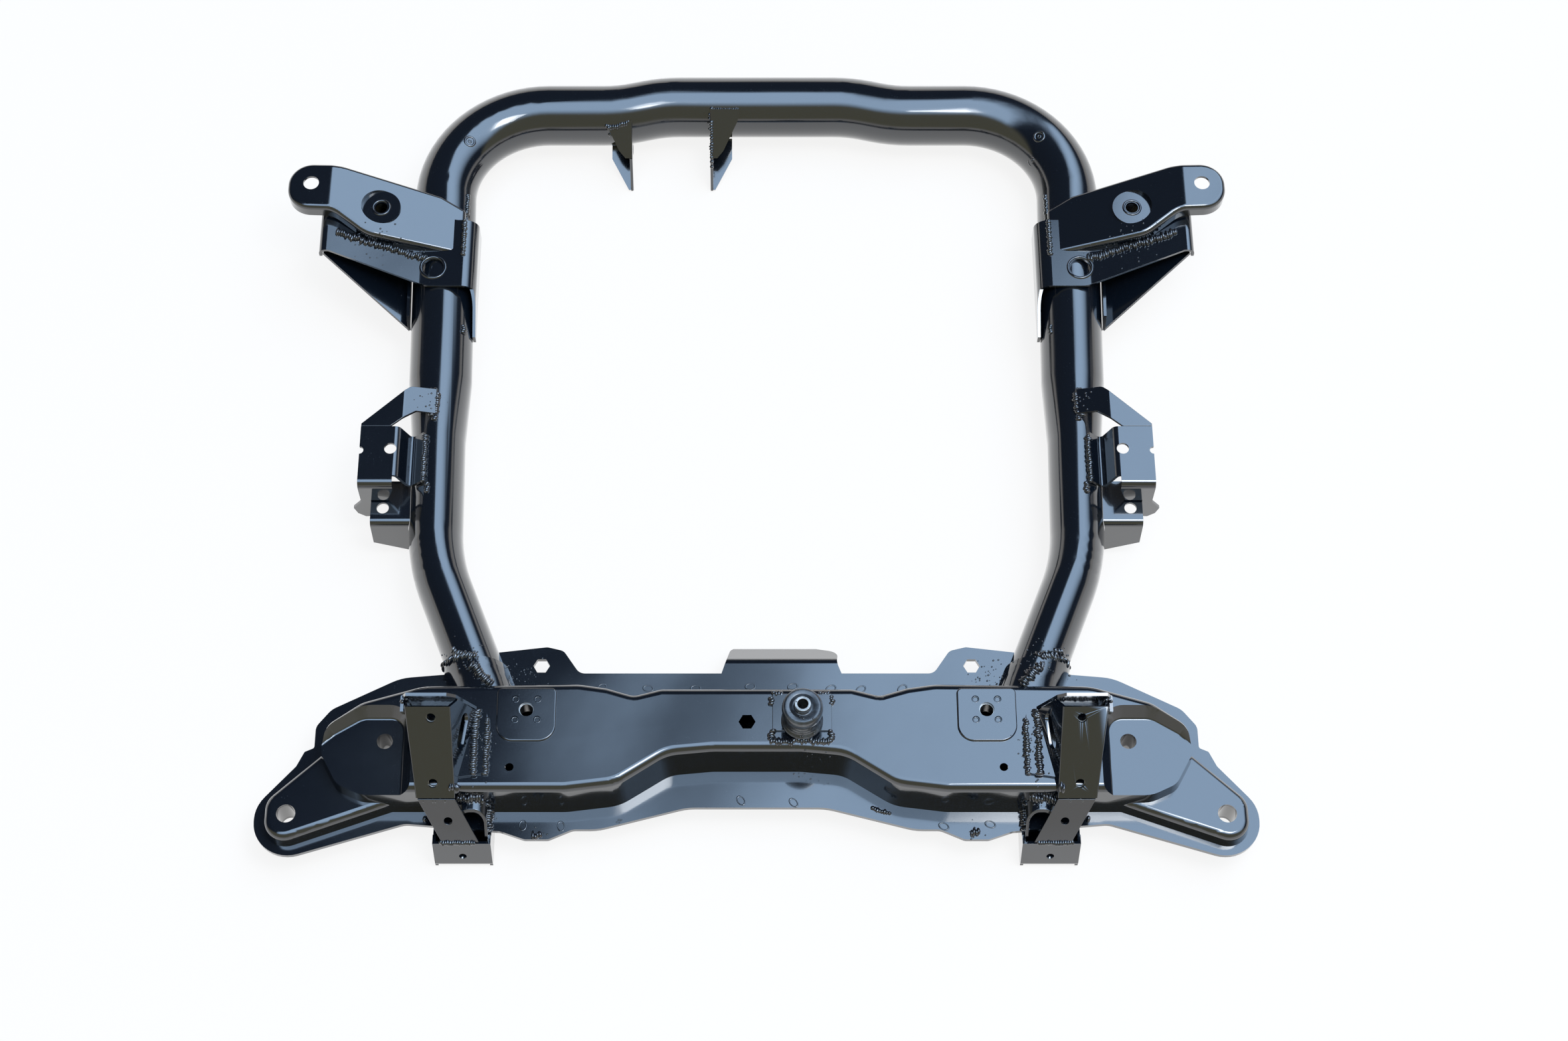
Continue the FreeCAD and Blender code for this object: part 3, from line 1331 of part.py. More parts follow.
def add_torque_mount():
    """Adds the torque mount on the crossmember: plate, rubber and inner sleeve."""
    x = "sizes.mount_right"
    y = "sizes.mount_ahead - sizes.rear_row_back"
    seat = "sizes.plateau_height + sizes.mount_plate_wall"
    slab_blank = bound("Part::Box", "torque_plate_blank", Length="sizes.mount_plate_width",
                       Width="sizes.mount_plate_depth", Height="sizes.mount_plate_wall",
                       Placement_Base_x="sizes.mount_right - sizes.mount_plate_width / 2",
                       Placement_Base_y="sizes.mount_plate_ahead - sizes.rear_row_back - sizes.mount_plate_depth",
                       Placement_Base_z="sizes.plateau_height")
    plate = doc.addObject("Part::Cut", "torque_mount_plate")
    plate.Label = "torque_mount_plate"
    plate.Base = slab_blank
    plate.Tool = bound("Part::Cylinder", "torque_plate_bore", Radius="sizes.mount_bore_radius",
                       Height="3 * sizes.mount_plate_wall", Placement_Base_x=x, Placement_Base_y=y,
                       Placement_Base_z="sizes.plateau_height - sizes.mount_plate_wall")
    body = bound("Part::Cylinder", "torque_rubber_body", Radius="sizes.rubber_radius",
                 Height="sizes.rubber_height", Placement_Base_x=x, Placement_Base_y=y, Placement_Base_z=seat)
    skirt = bound("Part::Cylinder", "torque_rubber_skirt", Radius="sizes.rubber_skirt_radius",
                  Height="sizes.rubber_skirt_height", Placement_Base_x=x, Placement_Base_y=y,
                  Placement_Base_z=seat)
    whole = doc.addObject("Part::Fuse", "torque_rubber_whole")
    whole.Base = body
    whole.Tool = skirt
    rubber = doc.addObject("Part::Cut", "torque_mount_rubber")
    rubber.Label = "torque_mount_rubber"
    rubber.Base = whole
    rubber.Tool = bound("Part::Cylinder", "torque_rubber_bore", Radius="sizes.mount_sleeve_radius",
                        Height="sizes.rubber_height", Placement_Base_x=x, Placement_Base_y=y,
                        Placement_Base_z=seat)
    sleeve = ring_post("torque_mount_sleeve", x, y, "sizes.mount_sleeve_radius", "sizes.mount_bore_radius",
                       seat, seat + " + sizes.rubber_height + sizes.mount_sleeve_rise")
    SUBPARTS.extend([plate, rubber, sleeve])


UPPER_SPACE = upper_skin(-CLEAR)
LOWER_SPACE = lower_skin(-CLEAR)


def build():
    """Adds every sub-part to the document."""
    SUBPARTS.append(add_shape("rail_tube", rail_tube()))
    SUBPARTS.append(add_shape("crossmember_upper_shell", upper_shell()))
    SUBPARTS.append(add_shape("crossmember_lower_shell", lower_shell()))
    add_sleeves()
    add_rack_plates()
    for name, maker in (
        ("front_mount_shell", front_mount_shell),
        ("front_mount_saddle", front_mount_saddle),
        ("front_mount_gusset", front_mount_gusset),
        ("arm_bracket", arm_bracket),
        ("arm_bracket_strap", arm_bracket_strap),
        ("arm_bracket_shelf", arm_bracket_shelf),
        ("roll_bar_bracket", roll_bar_bracket),
        ("roll_bar_brace", roll_bar_brace),
        ("roll_bar_strap", roll_bar_strap),
        ("roll_bar_foot", roll_bar_foot),
        ("roll_bar_arch", roll_bar_arch),
    ):
        add_pair(name, maker())
    SUBPARTS.append(add_shape("roll_bar_nuts", roll_bar_nuts()))
    SUBPARTS.append(add_shape("left_mount_cheek", mount_cheek(-size("left_cheek_left"), -1)))
    SUBPARTS.append(add_shape("right_mount_cheek", mount_cheek(-size("right_cheek_left"), 1)))
    add_torque_mount()


def check_and_write():
    """Recomputes the document, checks every object and writes one file for each sub-part."""
    doc.recompute()
    for item in doc.Objects:
        if "Invalid" in item.State or "Error" in item.State:
            raise RuntimeError("%s did not compute: %s" % (item.Name, item.State))
    os.makedirs("parts", exist_ok=True)
    for part in SUBPARTS:
        shape = part.Shape
        if shape.isNull() or not shape.isValid():
            raise RuntimeError("%s has no valid shape" % part.Label)
        print(part.Label, len(shape.Solids), round(shape.Volume), shape.BoundBox)
    for part in SUBPARTS:
        part.Shape.exportStep("parts/%s.step" % part.Label)


build()
check_and_write()
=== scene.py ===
"""Looks of a welded front subframe: gloss black paint, weld beads and a pale studio.

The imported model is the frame. Each steel piece is copied from its CAD node, its edges are rounded
as sheared sheet has them, and it gets its paint. The torque mount's rubber is turned again with its
ribs. Weld beads, drops of spatter and raised rings are set out as seen from above, in millimetres
across from the middle and ahead of the rear body bolts, and set down on the steel that lies there.
Metres elsewhere, +X to the right, +Y to the front of the car, +Z up.
"""

import json
import logging
import math
import random
from collections.abc import Iterator, Sequence
from dataclasses import dataclass, field, replace
from enum import Enum

import bmesh
import bpy
from mathutils import Matrix, Vector
from mathutils.bvhtree import BVHTree

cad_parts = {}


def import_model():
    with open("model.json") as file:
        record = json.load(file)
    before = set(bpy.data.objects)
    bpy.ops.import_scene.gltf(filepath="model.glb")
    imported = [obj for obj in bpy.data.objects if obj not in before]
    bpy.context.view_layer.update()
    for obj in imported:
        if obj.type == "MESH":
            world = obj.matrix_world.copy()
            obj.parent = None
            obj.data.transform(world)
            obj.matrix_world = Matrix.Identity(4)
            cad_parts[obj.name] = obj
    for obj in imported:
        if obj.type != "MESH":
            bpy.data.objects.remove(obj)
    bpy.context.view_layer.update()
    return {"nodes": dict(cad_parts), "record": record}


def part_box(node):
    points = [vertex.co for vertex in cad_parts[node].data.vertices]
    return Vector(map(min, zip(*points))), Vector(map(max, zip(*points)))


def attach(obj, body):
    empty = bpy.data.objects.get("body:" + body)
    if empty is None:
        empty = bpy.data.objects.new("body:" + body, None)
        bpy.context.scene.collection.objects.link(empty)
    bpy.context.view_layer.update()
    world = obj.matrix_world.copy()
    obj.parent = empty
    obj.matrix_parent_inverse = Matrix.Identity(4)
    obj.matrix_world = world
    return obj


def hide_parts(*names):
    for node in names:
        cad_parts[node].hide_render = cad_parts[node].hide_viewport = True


log = logging.getLogger("subframe")

MM = 0.001
BODY = "root"

Number = float | int
Colour = tuple[float, float, float]
Plan = tuple[float, float]  # place seen from above: across and ahead, in millimetres
Span = tuple[float, float]  # low and high end of a range
Shares = tuple[float, float]  # share of a radius and share of a height


class Slot(Enum):
    """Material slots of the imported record."""

    PAINT = "black_paint"
    STEEL = "steel"
    RUBBER = "rubber"


class Side(Enum):
    """Sides of the part, each with the sign of its X."""

    LEFT = -1
    RIGHT = 1


# Shader maths


@dataclass(frozen=True)
class Cloud:
    """Cloudy pattern.

    Its size is the distance between its lumps, detail the octaves of finer lumps, roughness the
    strength of those, and stretch its scale along X, Y and Z.
    """

    size: float
    detail: float = 2.0
    roughness: float = 0.5
    stretch: tuple[float, float, float] | None = None


@dataclass(frozen=True)
class Relief:
    """Cloudy unevenness of a surface, with the real height of its lumps."""

    cloud: Cloud
    height: float


class Signal:
    """One output socket of a shader tree, which Python's operators combine with others."""

    # Places of the colour sockets of a Mix node
    MIX_FACTOR, MIX_LOW, MIX_HIGH, MIX_RESULT = 0, 6, 7, 2

    def __init__(self, tree: "ShaderTree", socket: bpy.types.NodeSocket) -> None:
        """Keeps the tree and the socket.

        Args:
            tree: Tree that the socket belongs to.
            socket: Output socket that carries the value.
        """
        self.tree = tree
        self.socket = socket

    def math(self, operation: str, *others: "Signal | Number") -> "Signal":
        """Adds a Math node.

        Args:
            operation: Operation of the node.
            others: Second and third values.

        Returns:
            The node's value.
        """
        return self.tree.node("ShaderNodeMath", [self, *others], operation=operation)

    def __add__(self, other: "Signal | Number") -> "Signal":
        """Adds a value."""
        return self.math("ADD", other)

    def __radd__(self, other: Number) -> "Signal":
        """Adds this to a value."""
        return self.math("ADD", other)

    def __sub__(self, other: "Signal | Number") -> "Signal":
        """Takes a value away."""
        return self.math("SUBTRACT", other)

    def __rsub__(self, other: Number) -> "Signal":
        """Takes this away from a value."""
        return self.tree.node("ShaderNodeMath", [other, self], operation="SUBTRACT")

    def __mul__(self, other: "Signal | Number") -> "Signal":
        """Multiplies by a value."""
        return self.math("MULTIPLY", other)

    def __rmul__(self, other: Number) -> "Signal":
        """Multiplies a value by this."""
        return self.math("MULTIPLY", other)

    def __truediv__(self, other: "Signal | Number") -> "Signal":
        """Divides by a value."""
        return self.math("DIVIDE", other)

    def __rtruediv__(self, other: Number) -> "Signal":
        """Divides a value by this."""
        return self.tree.node("ShaderNodeMath", [other, self], operation="DIVIDE")

    def above(self, low: float, high: float) -> "Signal":
        """Goes smoothly from 0 at low to 1 at high.

        Args:
            low: Value that gives 0.
            high: Value that gives 1.

        Returns:
            The eased share.
        """
        return self.tree.node(
            "ShaderNodeMapRange", {"Value": self, "From Min": low, "From Max": high},
            interpolation_type="SMOOTHSTEP")

    def between(self, low: "Colour | Signal", high: "Colour | Signal") -> "Signal":
        """Mixes two colours by this value.

        Args:
            low: Colour where this is 0.
            high: Colour where this is 1.

        Returns:
            The mixed colour.
        """
        first, second = (end if isinstance(end, Signal) else (*end, 1.0) for end in (low, high))
        return self.tree.node(
            "ShaderNodeMix", {self.MIX_FACTOR: self, self.MIX_LOW: first, self.MIX_HIGH: second},
            output=self.MIX_RESULT, data_type="RGBA")


class ShaderTree:
    """Node tree of a material or of the world."""

    def __init__(self, owner: bpy.types.Material | bpy.types.World) -> None:
        """Takes over the owner's node tree and empties it.

        Args:
            owner: What the tree dresses.
        """
        owner.use_nodes = True
        self.nodes = owner.node_tree.nodes
        self.links = owner.node_tree.links
        self.nodes.clear()

    def node(
            self, kind: str, inputs: Sequence | dict, output: int | str = 0,
            **settings: object) -> Signal:
        """Makes a node, sets its properties and fills its inputs.

        Args:
            kind: Type name of the node.
            inputs: Values by place or by name; a Signal is linked and anything else is set.
            output: Output socket to give back.
            **settings: Properties of the node.

        Returns:
            The chosen output.
        """
        made = self.nodes.new(kind)
        for key, value in settings.items():
            setattr(made, key, value)
        pairs = inputs.items() if isinstance(inputs, dict) else enumerate(inputs)
        for key, value in pairs:
            if isinstance(value, Signal):
                self.links.new(value.socket, made.inputs[key])
            else:
                made.inputs[key].default_value = value
        return Signal(self, made.outputs[output])

    def position(self) -> Signal:
        """Gives the place of a point on the object, in metres."""
        return self.node("ShaderNodeTexCoord", {}, "Object")

    def noise(self, cloud: Cloud) -> Signal:
        """Adds a cloudy pattern.

        Args:
            cloud: What it looks like.

        Returns:
            A value from 0 to 1, about 0.5 on average.
        """
        place = self.position()
        if cloud.stretch is not None:
            place = self.node("ShaderNodeMapping", {"Vector": place, "Scale": cloud.stretch})
        return self.node("ShaderNodeTexNoise", {
            "Vector": place, "Scale": 1 / cloud.size, "Detail": cloud.detail,
            "Roughness": cloud.roughness})

    def cells(self, size: float) -> Signal:
        """Gives the distance to the nearest of many scattered points, in cell sizes.

        Args:
            size: Mean distance between the points, in metres.

        Returns:
            The distance.
        """
        return self.node(
            "ShaderNodeTexVoronoi", {"Vector": self.position(), "Scale": 1 / size}, "Distance")

    def bump(self, height: Signal, distance: float, under: Signal | None = None) -> Signal:
        """Turns a height into a normal.

        Args:
            height: Height pattern.
            distance: Real height of a step from 0 to 1, in metres.
            under: Normal that this one is laid on, or None.

        Returns:
            The normal.
        """
        inputs = {"Height": height, "Distance": distance, "Strength": 1.0}
        if under is not None:
            inputs["Normal"] = under
        return self.node("ShaderNodeBump", inputs)

    def relief(self, relief: Relief, under: Signal | None = None) -> Signal:
        """Adds an unevenness.

        Args:
            relief: What it looks like.
            under: Normal that it is laid on, or None.

        Returns:
            The normal.
        """
        return self.bump(self.noise(relief.cloud), relief.height, under)

    def show(self, shader: Signal, kind: str = "ShaderNodeOutputMaterial") -> None:
        """Links a shader to a new output node.

        Args:
            shader: The finished shader.
            kind: Type name of the output node.
        """
        output = self.nodes.new(kind)
        self.links.new(shader.socket, output.inputs["Surface"])

    def surface(self, **inputs: object) -> None:
        """Adds the surface shader and shows it.

        Args:
            **inputs: Inputs of the surface shader, with _ for a space.
        """
        self.show(self.node("ShaderNodeBsdfPrincipled", {
            key.replace("_", " "): value for key, value in inputs.items()}))


# Finishes


@dataclass(frozen=True)
class GlossPaint:
    """Black dipped paint: glossy, a little wavy, with fine dust in it."""

    name: str
    colour: Colour = (0.0035, 0.0055, 0.009)
    roughness: float = 0.13
    blotch: float = 0.05
    blotches: Cloud = Cloud(26 * MM, 3.0, 0.6)
    bulges: Relief = Relief(Cloud(170 * MM, 0.0), 9 * MM)
    waves: Relief = Relief(Cloud(34 * MM, 1.0), 0.09 * MM)
    peel: Relief = Relief(Cloud(2.2 * MM, 2.0, 0.6), 0.006 * MM)
    dust_colour: Colour = (0.045, 0.055, 0.065)
    dust_spacing: float = 2.6 * MM
    speck_edges: Span = (0.05, 0.1)
    dust_patches: Cloud = Cloud(11 * MM)
    patch_edges: Span = (0.52, 0.62)
    dust_strength: float = 0.8
    dust_roughness: float = 0.3
    dust_height: float = 0.02 * MM
    refraction: float = 1.6
    coat: float = 1.0
    coat_roughness: float = 0.06

    def dust(self, tree: ShaderTree) -> Signal:
        """Makes the pattern of the dust.

        Args:
            tree: Tree of the material.

        Returns:
            1 in a speck and 0 between them.
        """
        specks = 1.0 - tree.cells(self.dust_spacing).above(*self.speck_edges)
        return specks * tree.noise(self.dust_patches).above(*self.patch_edges)

    def material(self) -> bpy.types.Material:
        """Makes the material.

        Returns:
            The paint.
        """
        paint = bpy.data.materials.new(self.name)
        tree = ShaderTree(paint)
        dust = self.dust(tree)
        rough = (tree.noise(self.blotches) * self.blotch + (self.roughness - self.blotch / 2)
                 + dust * self.dust_roughness)
        normal = None
        for relief in (self.bulges, self.waves, self.peel):
            normal = tree.relief(relief, normal)
        tree.surface(
            Base_Color=(dust * self.dust_strength).between(self.colour, self.dust_colour),
            Roughness=rough, Normal=tree.bump(dust, self.dust_height, normal), Metallic=0.0,
            IOR=self.refraction, Coat_Weight=self.coat, Coat_Roughness=self.coat_roughness,
            Coat_IOR=self.refraction)
        return paint


@dataclass(frozen=True)
class BareSteel:
    """Turned or rolled steel with a dull zinc grey."""

    name: str
    colour: Colour = (0.42, 0.41, 0.39)
    stain_share: float = 0.55
    stain: Cloud = Cloud(9 * MM, 3.0, 0.6)
    stain_edges: Span = (0.3, 0.7)
    roughness: float = 0.36
    roughness_range: float = 0.2
    grain: Relief = Relief(Cloud(1.2 * MM, 3.0, 0.6, (1.0, 1.0, 0.2)), 0.02 * MM)

    def material(self) -> bpy.types.Material:
        """Makes the material.

        Returns:
            The steel.
        """
        steel = bpy.data.materials.new(self.name)
        tree = ShaderTree(steel)
        stain = tree.noise(self.stain)
        dark = tuple(part * self.stain_share for part in self.colour)
        tree.surface(
            Base_Color=stain.above(*self.stain_edges).between(dark, self.colour), Metallic=1.0,
            Roughness=stain * self.roughness_range + (self.roughness - self.roughness_range / 2),
            Normal=tree.relief(self.grain))
        return steel


@dataclass(frozen=True)
class MouldedRubber:
    """Vulcanised black rubber with a pale bloom and a waxy shine."""

    name: str
    colour: Colour = (0.012, 0.014, 0.018)
    bloom_colour: Colour = (0.05, 0.06, 0.072)
    bloom: Cloud = Cloud(7 * MM, 4.0, 0.6)
    bloom_edges: Span = (0.4, 0.75)
    roughness: float = 0.36
    roughness_range: float = 0.2
    grain: Relief = Relief(Cloud(0.7 * MM), 0.03 * MM)
    coat: float = 0.8
    coat_roughness: float = 0.16
    coat_refraction: float = 1.6

    def material(self) -> bpy.types.Material:
        """Makes the material.

        Returns:
            The rubber.
        """
        rubber = bpy.data.materials.new(self.name)
        tree = ShaderTree(rubber)
        bloom = tree.noise(self.bloom)
        tree.surface(
            Base_Color=bloom.above(*self.bloom_edges).between(self.colour, self.bloom_colour),
            Roughness=bloom * self.roughness_range + (self.roughness - self.roughness_range / 2),
            Normal=tree.relief(self.grain), Metallic=0.0, Coat_Weight=self.coat,
            Coat_Roughness=self.coat_roughness, Coat_IOR=self.coat_refraction)
        return rubber


def painted_weld() -> GlossPaint:
    """Gives the paint as it lies on weld metal, rougher and more uneven.

    Returns:
        The paint.
    """
    return GlossPaint(
        "painted_weld", roughness=0.24, blotch=0.2,
        waves=Relief(Cloud(4 * MM, 1.0), 0.25 * MM),
        peel=Relief(Cloud(1.1 * MM, 2.0, 0.6), 0.05 * MM))


@dataclass
class Finishes:
    """Materials of the whole part, one for each slot and one for the beads."""

    paint: bpy.types.Material = field(
        default_factory=lambda: GlossPaint("gloss_black_paint").material())
    bead: bpy.types.Material = field(default_factory=lambda: painted_weld().material())
    steel: bpy.types.Material = field(default_factory=lambda: BareSteel("dull_steel").material())
    rubber: bpy.types.Material = field(
        default_factory=lambda: MouldedRubber("moulded_rubber").material())

    def of(self, slot: Slot) -> bpy.types.Material:
        """Gives the material of a slot.

        Args:
            slot: Slot of the record.

        Returns:
            Its material.
        """
        return {Slot.PAINT: self.paint, Slot.STEEL: self.steel, Slot.RUBBER: self.rubber}[slot]


# Pieces


def add_piece(
        name: str, mesh: bmesh.types.BMesh, material: bpy.types.Material,
        smooth_angle: float = 35.0) -> bpy.types.Object:
    """Turns a bmesh into a piece of the part that rides on its one body.

    Args:
        name: Name of the piece.
        mesh: Its shape, which is freed.
        material: Its material.
        smooth_angle: Edges sharper than this stay sharp, in degrees.

    Returns:
        The piece.
    """
    data = bpy.data.meshes.new(name)
    mesh.to_mesh(data)
    mesh.free()
    data.polygons.foreach_set("use_smooth", [True] * len(data.polygons))
    data.set_sharp_from_angle(angle=math.radians(smooth_angle))
    data.materials.append(material)
    piece = bpy.data.objects.new(name, data)
    bpy.context.scene.collection.objects.link(piece)
    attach(piece, BODY)
    log.info("%s: %d faces", name, len(data.polygons))
    return piece


class Flatness(Enum):
    """Largest turn between facets that are joined into one flat face, in degrees."""

    CLOSE = 0.4
    TWISTED_PANEL = 3.0

    @classmethod
    def of(cls, node: str) -> "Flatness":
        """Gives the flatness that suits a node."""
        return cls.TWISTED_PANEL if node.endswith("roll_bar_bracket") else cls.CLOSE


def turns(edge: bmesh.types.BMEdge, above: float) -> bool:
    """Tells whether the faces at an edge turn by more than an angle in degrees."""
    return edge.calc_face_angle(0.0) > math.radians(above)


@dataclass(frozen=True)
class Pressing:
    """A steel piece copied from its CAD node, with its edges rounded as sheared sheet has them.

    Edges that turn by more than sharp_above are rounded. A face whose neighbours all turn from it by
    more than plain_above is a flat panel and is shaded flat. Angles are in degrees.
    """

    node: str
    slot: Slot
    edge_radius: float = 0.5 * MM
    segments: int = 2
    sharp_above: float = 40.0
    plain_above: float = 25.0
    merge_within: float = 0.002 * MM
    large_face_weight: int = 85

    def merged(self, source: bpy.types.Object) -> bmesh.types.BMesh:
        """Copies the node's mesh and joins its loose triangles into faces.

        Args:
            source: The CAD node.

        Returns:
            The copy.
        """
        mesh = bmesh.new()
        mesh.from_mesh(source.data)
        bmesh.ops.remove_doubles(mesh, verts=mesh.verts, dist=self.merge_within)
        bmesh.ops.dissolve_limit(
            mesh, angle_limit=math.radians(Flatness.of(self.node).value), verts=mesh.verts,
            edges=mesh.edges, use_dissolve_boundaries=False)
        return mesh

    def round_edges(self, mesh: bmesh.types.BMesh) -> None:
        """Marks the flat panels in a face layer called plain and rounds the sharp edges.

        Args:
            mesh: Mesh of the piece.
        """
        plain = mesh.faces.layers.bool.new("plain")
        for face in mesh.faces:
            face[plain] = all(turns(edge, self.plain_above) for edge in face.edges)
        sharp = [edge for edge in mesh.edges
                 if len(edge.link_faces) == 2 and turns(edge, self.sharp_above)]
        rounded = bmesh.ops.bevel(
            mesh, geom=sharp, offset=self.edge_radius, offset_type="OFFSET",
            segments=self.segments, profile=0.5, affect="EDGES", clamp_overlap=True, material=-1)
        for face in rounded["faces"]:
            face[plain] = False

    def build(self, source: bpy.types.Object, finishes: Finishes) -> bpy.types.Object:
        """Makes the piece and hides its node.

        Args:
            source: The CAD node.
            finishes: Materials of the part.

        Returns:
            The piece.
        """
        mesh = self.merged(source)
        self.round_edges(mesh)
        piece = add_piece(self.node + "_skin", mesh, finishes.of(self.slot))
        flags = piece.data.attributes["plain"]
        for polygon, flag in zip(piece.data.polygons, flags.data):
            polygon.use_smooth = not flag.value
        piece.data.attributes.remove(flags)
        normals = piece.modifiers.new("even_normals", "WEIGHTED_NORMAL")
        normals.keep_sharp = True
        normals.weight = self.large_face_weight
        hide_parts(self.node)
        return piece


@dataclass(frozen=True)
class TorqueMountRubber:
    """Ribbed rubber of the torque mount, turned about the sleeve.

    Each point of its outline is a share of the outer radius and a share of the height. A rib has the
    point of its crest, from which it stands out by rib_rise, and that of the groove above it.
    """

    node: str = "torque_mount_rubber"
    sleeve_node: str = "torque_mount_sleeve"
    foot: tuple[Shares, ...] = ((1.0, 0.0), (1.0, 0.06), (0.96, 0.1), (0.84, 0.13), (0.8, 0.19))
    ribs: tuple[tuple[Shares, Shares], ...] = (
        ((0.8, 0.24), (0.78, 0.29)),
        ((0.78, 0.35), (0.77, 0.41)),
    )
    rib_rise: float = 0.9 * MM
    head: tuple[Shares, ...] = (
        (0.79, 0.5), (0.88, 0.58), (0.97, 0.68), (0.98, 0.86), (0.94, 0.95), (0.84, 1.0),
        (0.6, 0.99), (0.52, 0.93), (0.44, 0.92))
    seat_height: float = 0.94
    sleeve_gap: float = 0.1 * MM
    steps: int = 48
    smooth_angle: float = 30.0
    smooth_levels: int = 1

    def outline(self, outer: float, bore: float) -> list[tuple[float, float]]:
        """Lists the outline from the outer edge of the foot to the sleeve.

        Args:
            outer: Outer radius.
            bore: Radius of the sleeve.

        Returns:
            Radius and share of the height of each point.
        """
        points = [(outer * share, part) for share, part in self.foot]
        for (crest, crest_part), (groove, groove_part) in self.ribs:
            points.append((outer * crest + self.rib_rise, crest_part))
            points.append((outer * groove, groove_part))
        points += [(outer * share, part) for share, part in self.head]
        points.append((bore + self.sleeve_gap, self.seat_height))
        return points

    def build(self, finishes: Finishes) -> bpy.types.Object:
        """Turns the rubber and hides its node.

        Args:
            finishes: Materials of the part.

        Returns:
            The piece.
        """
        low, high = (Vector(corner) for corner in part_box(self.node))
        sleeve_low, sleeve_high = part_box(self.sleeve_node)
        centre = (low + high) / 2
        height = high.z - low.z
        mesh = bmesh.new()
        verts = [mesh.verts.new((centre.x + radius, centre.y, low.z + part * height))
                 for radius, part in self.outline(
                     (high.x - low.x) / 2, (sleeve_high[0] - sleeve_low[0]) / 2)]
        edges = [mesh.edges.new(pair) for pair in zip(verts, verts[1:])]
        bmesh.ops.spin(
            mesh, geom=verts + edges, cent=(centre.x, centre.y, 0), axis=(0, 0, 1),
            angle=math.tau, steps=self.steps, use_merge=True)
        bottom = low.z + height * self.foot[1][1] / 2
        bmesh.ops.holes_fill(
            mesh, edges=[edge for edge in mesh.edges
                         if edge.is_boundary and edge.verts[0].co.z < bottom], sides=0)
        bmesh.ops.recalc_face_normals(mesh, faces=mesh.faces)
        piece = add_piece(
            self.node + "_ribbed", mesh, finishes.rubber, self.smooth_angle)
        smooth = piece.modifiers.new("soft_ribs", "SUBSURF")
        smooth.levels = smooth.render_levels = self.smooth_levels
        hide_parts(self.node)
        return piece


# Welds and rings


@dataclass
class Skin:
    """Outer surface of all the steel, on which beads and rings are set down from a height above it.

    A seam is looked for in steps of seam_step. A bead on it is sunk into the rise there: it lies at
    the share seam_fill of the rise, of which no more than seam_rise counts.
    """

    sources: Sequence[bpy.types.Object]
    rear_row: float
    above: float = 1.0
    seam_step: float = 0.5 * MM
    seam_rise: float = 3 * MM
    seam_fill: float = 0.4

    def __post_init__(self) -> None:
        """Gathers the faces of every node and which node each belongs to."""
        corners: list[Vector] = []
        faces: list[tuple[int, ...]] = []
        self.owners: list[int] = []
        for number, source in enumerate(self.sources):
            first = len(corners)
            corners.extend(vertex.co.copy() for vertex in source.data.vertices)
            for polygon in source.data.polygons:
                faces.append(tuple(first + index for index in polygon.vertices))
                self.owners.append(number)
        self.tree = BVHTree.FromPolygons(corners, faces)

    def place(self, plan: Plan) -> Vector:
        """Turns a place seen from above, in millimetres, into the part's frame."""
        across, ahead = plan
        return Vector((across * MM, (ahead + self.rear_row / MM) * MM, 0.0))

    def drop(self, plan: Vector) -> tuple[Vector, Vector, int] | None:
        """Finds what lies under a place.

        Args:
            plan: Place seen from above; its height isn't read.

        Returns:
            The point, the surface's normal and the number of its node, or None off the part.
        """
        start = Vector((plan.x, plan.y, self.above))
        point, normal, face, _ = self.tree.ray_cast(start, Vector((0, 0, -1)))
        if point is None:
            return None
        return point, normal, self.owners[face]

    def snap(self, plan: Vector, across: Vector, reach: float) -> tuple[Vector, Vector] | None:
        """Finds the nearest seam between two nodes, or the surface itself where there is none.

        Args:
            plan: Place seen from above.
            across: Unit direction in which to look for the seam.
            reach: How far to look each way.

        Returns:
            A point and the normal there, or None off the part.
        """
        here = self.drop(plan)
        for count in range(1, int(reach / self.seam_step) + 1):
            for side in (1, -1):
                there = self.drop(plan + across * (side * count * self.seam_step))
                if here is None or there is None or here[2] == there[2]:
                    continue
                low, high = sorted((here, there), key=lambda hit: hit[0].z)
                point = Vector((there[0].x, there[0].y, low[0].z))
                point.z += min(high[0].z - low[0].z, self.seam_rise) * self.seam_fill
                return point, (low[1] + high[1]).normalized()
        return None if here is None else (here[0], here[1])


@dataclass(frozen=True)
class Bead:
    """Weld bead along a route, in millimetres: its width, how far it looks for a seam, its wander."""

    route: tuple[Plan, ...]
    width: float
    reach: float
    wander: float


@dataclass(frozen=True)
class Spatter:
    """Patch of drops that welding left, in millimetres: its middle, its spread and their number."""

    middle: Plan
    spread: float
    count: int


@dataclass(frozen=True)
class Weld:
    """One piece of weld metal: the beads that it has and the drops round them."""

    name: str
    beads: tuple[Bead, ...]
    spatters: tuple[Spatter, ...] = ()

    def on(self, side: Side) -> "Weld":
        """Gives this weld, which is set out for the right side, on either side.

        Args:
            side: Side that it goes on.

        Returns:
            The weld, with the side's name before its own.
        """
        def placed(plan: Plan) -> Plan:
            """Puts a place on the side."""
            return side.value * plan[0], plan[1]

        return Weld(
            f"{side.name.lower()}_{self.name}",
            tuple(replace(bead, route=tuple(map(placed, bead.route))) for bead in self.beads),
            tuple(replace(patch, middle=placed(patch.middle)) for patch in self.spatters))


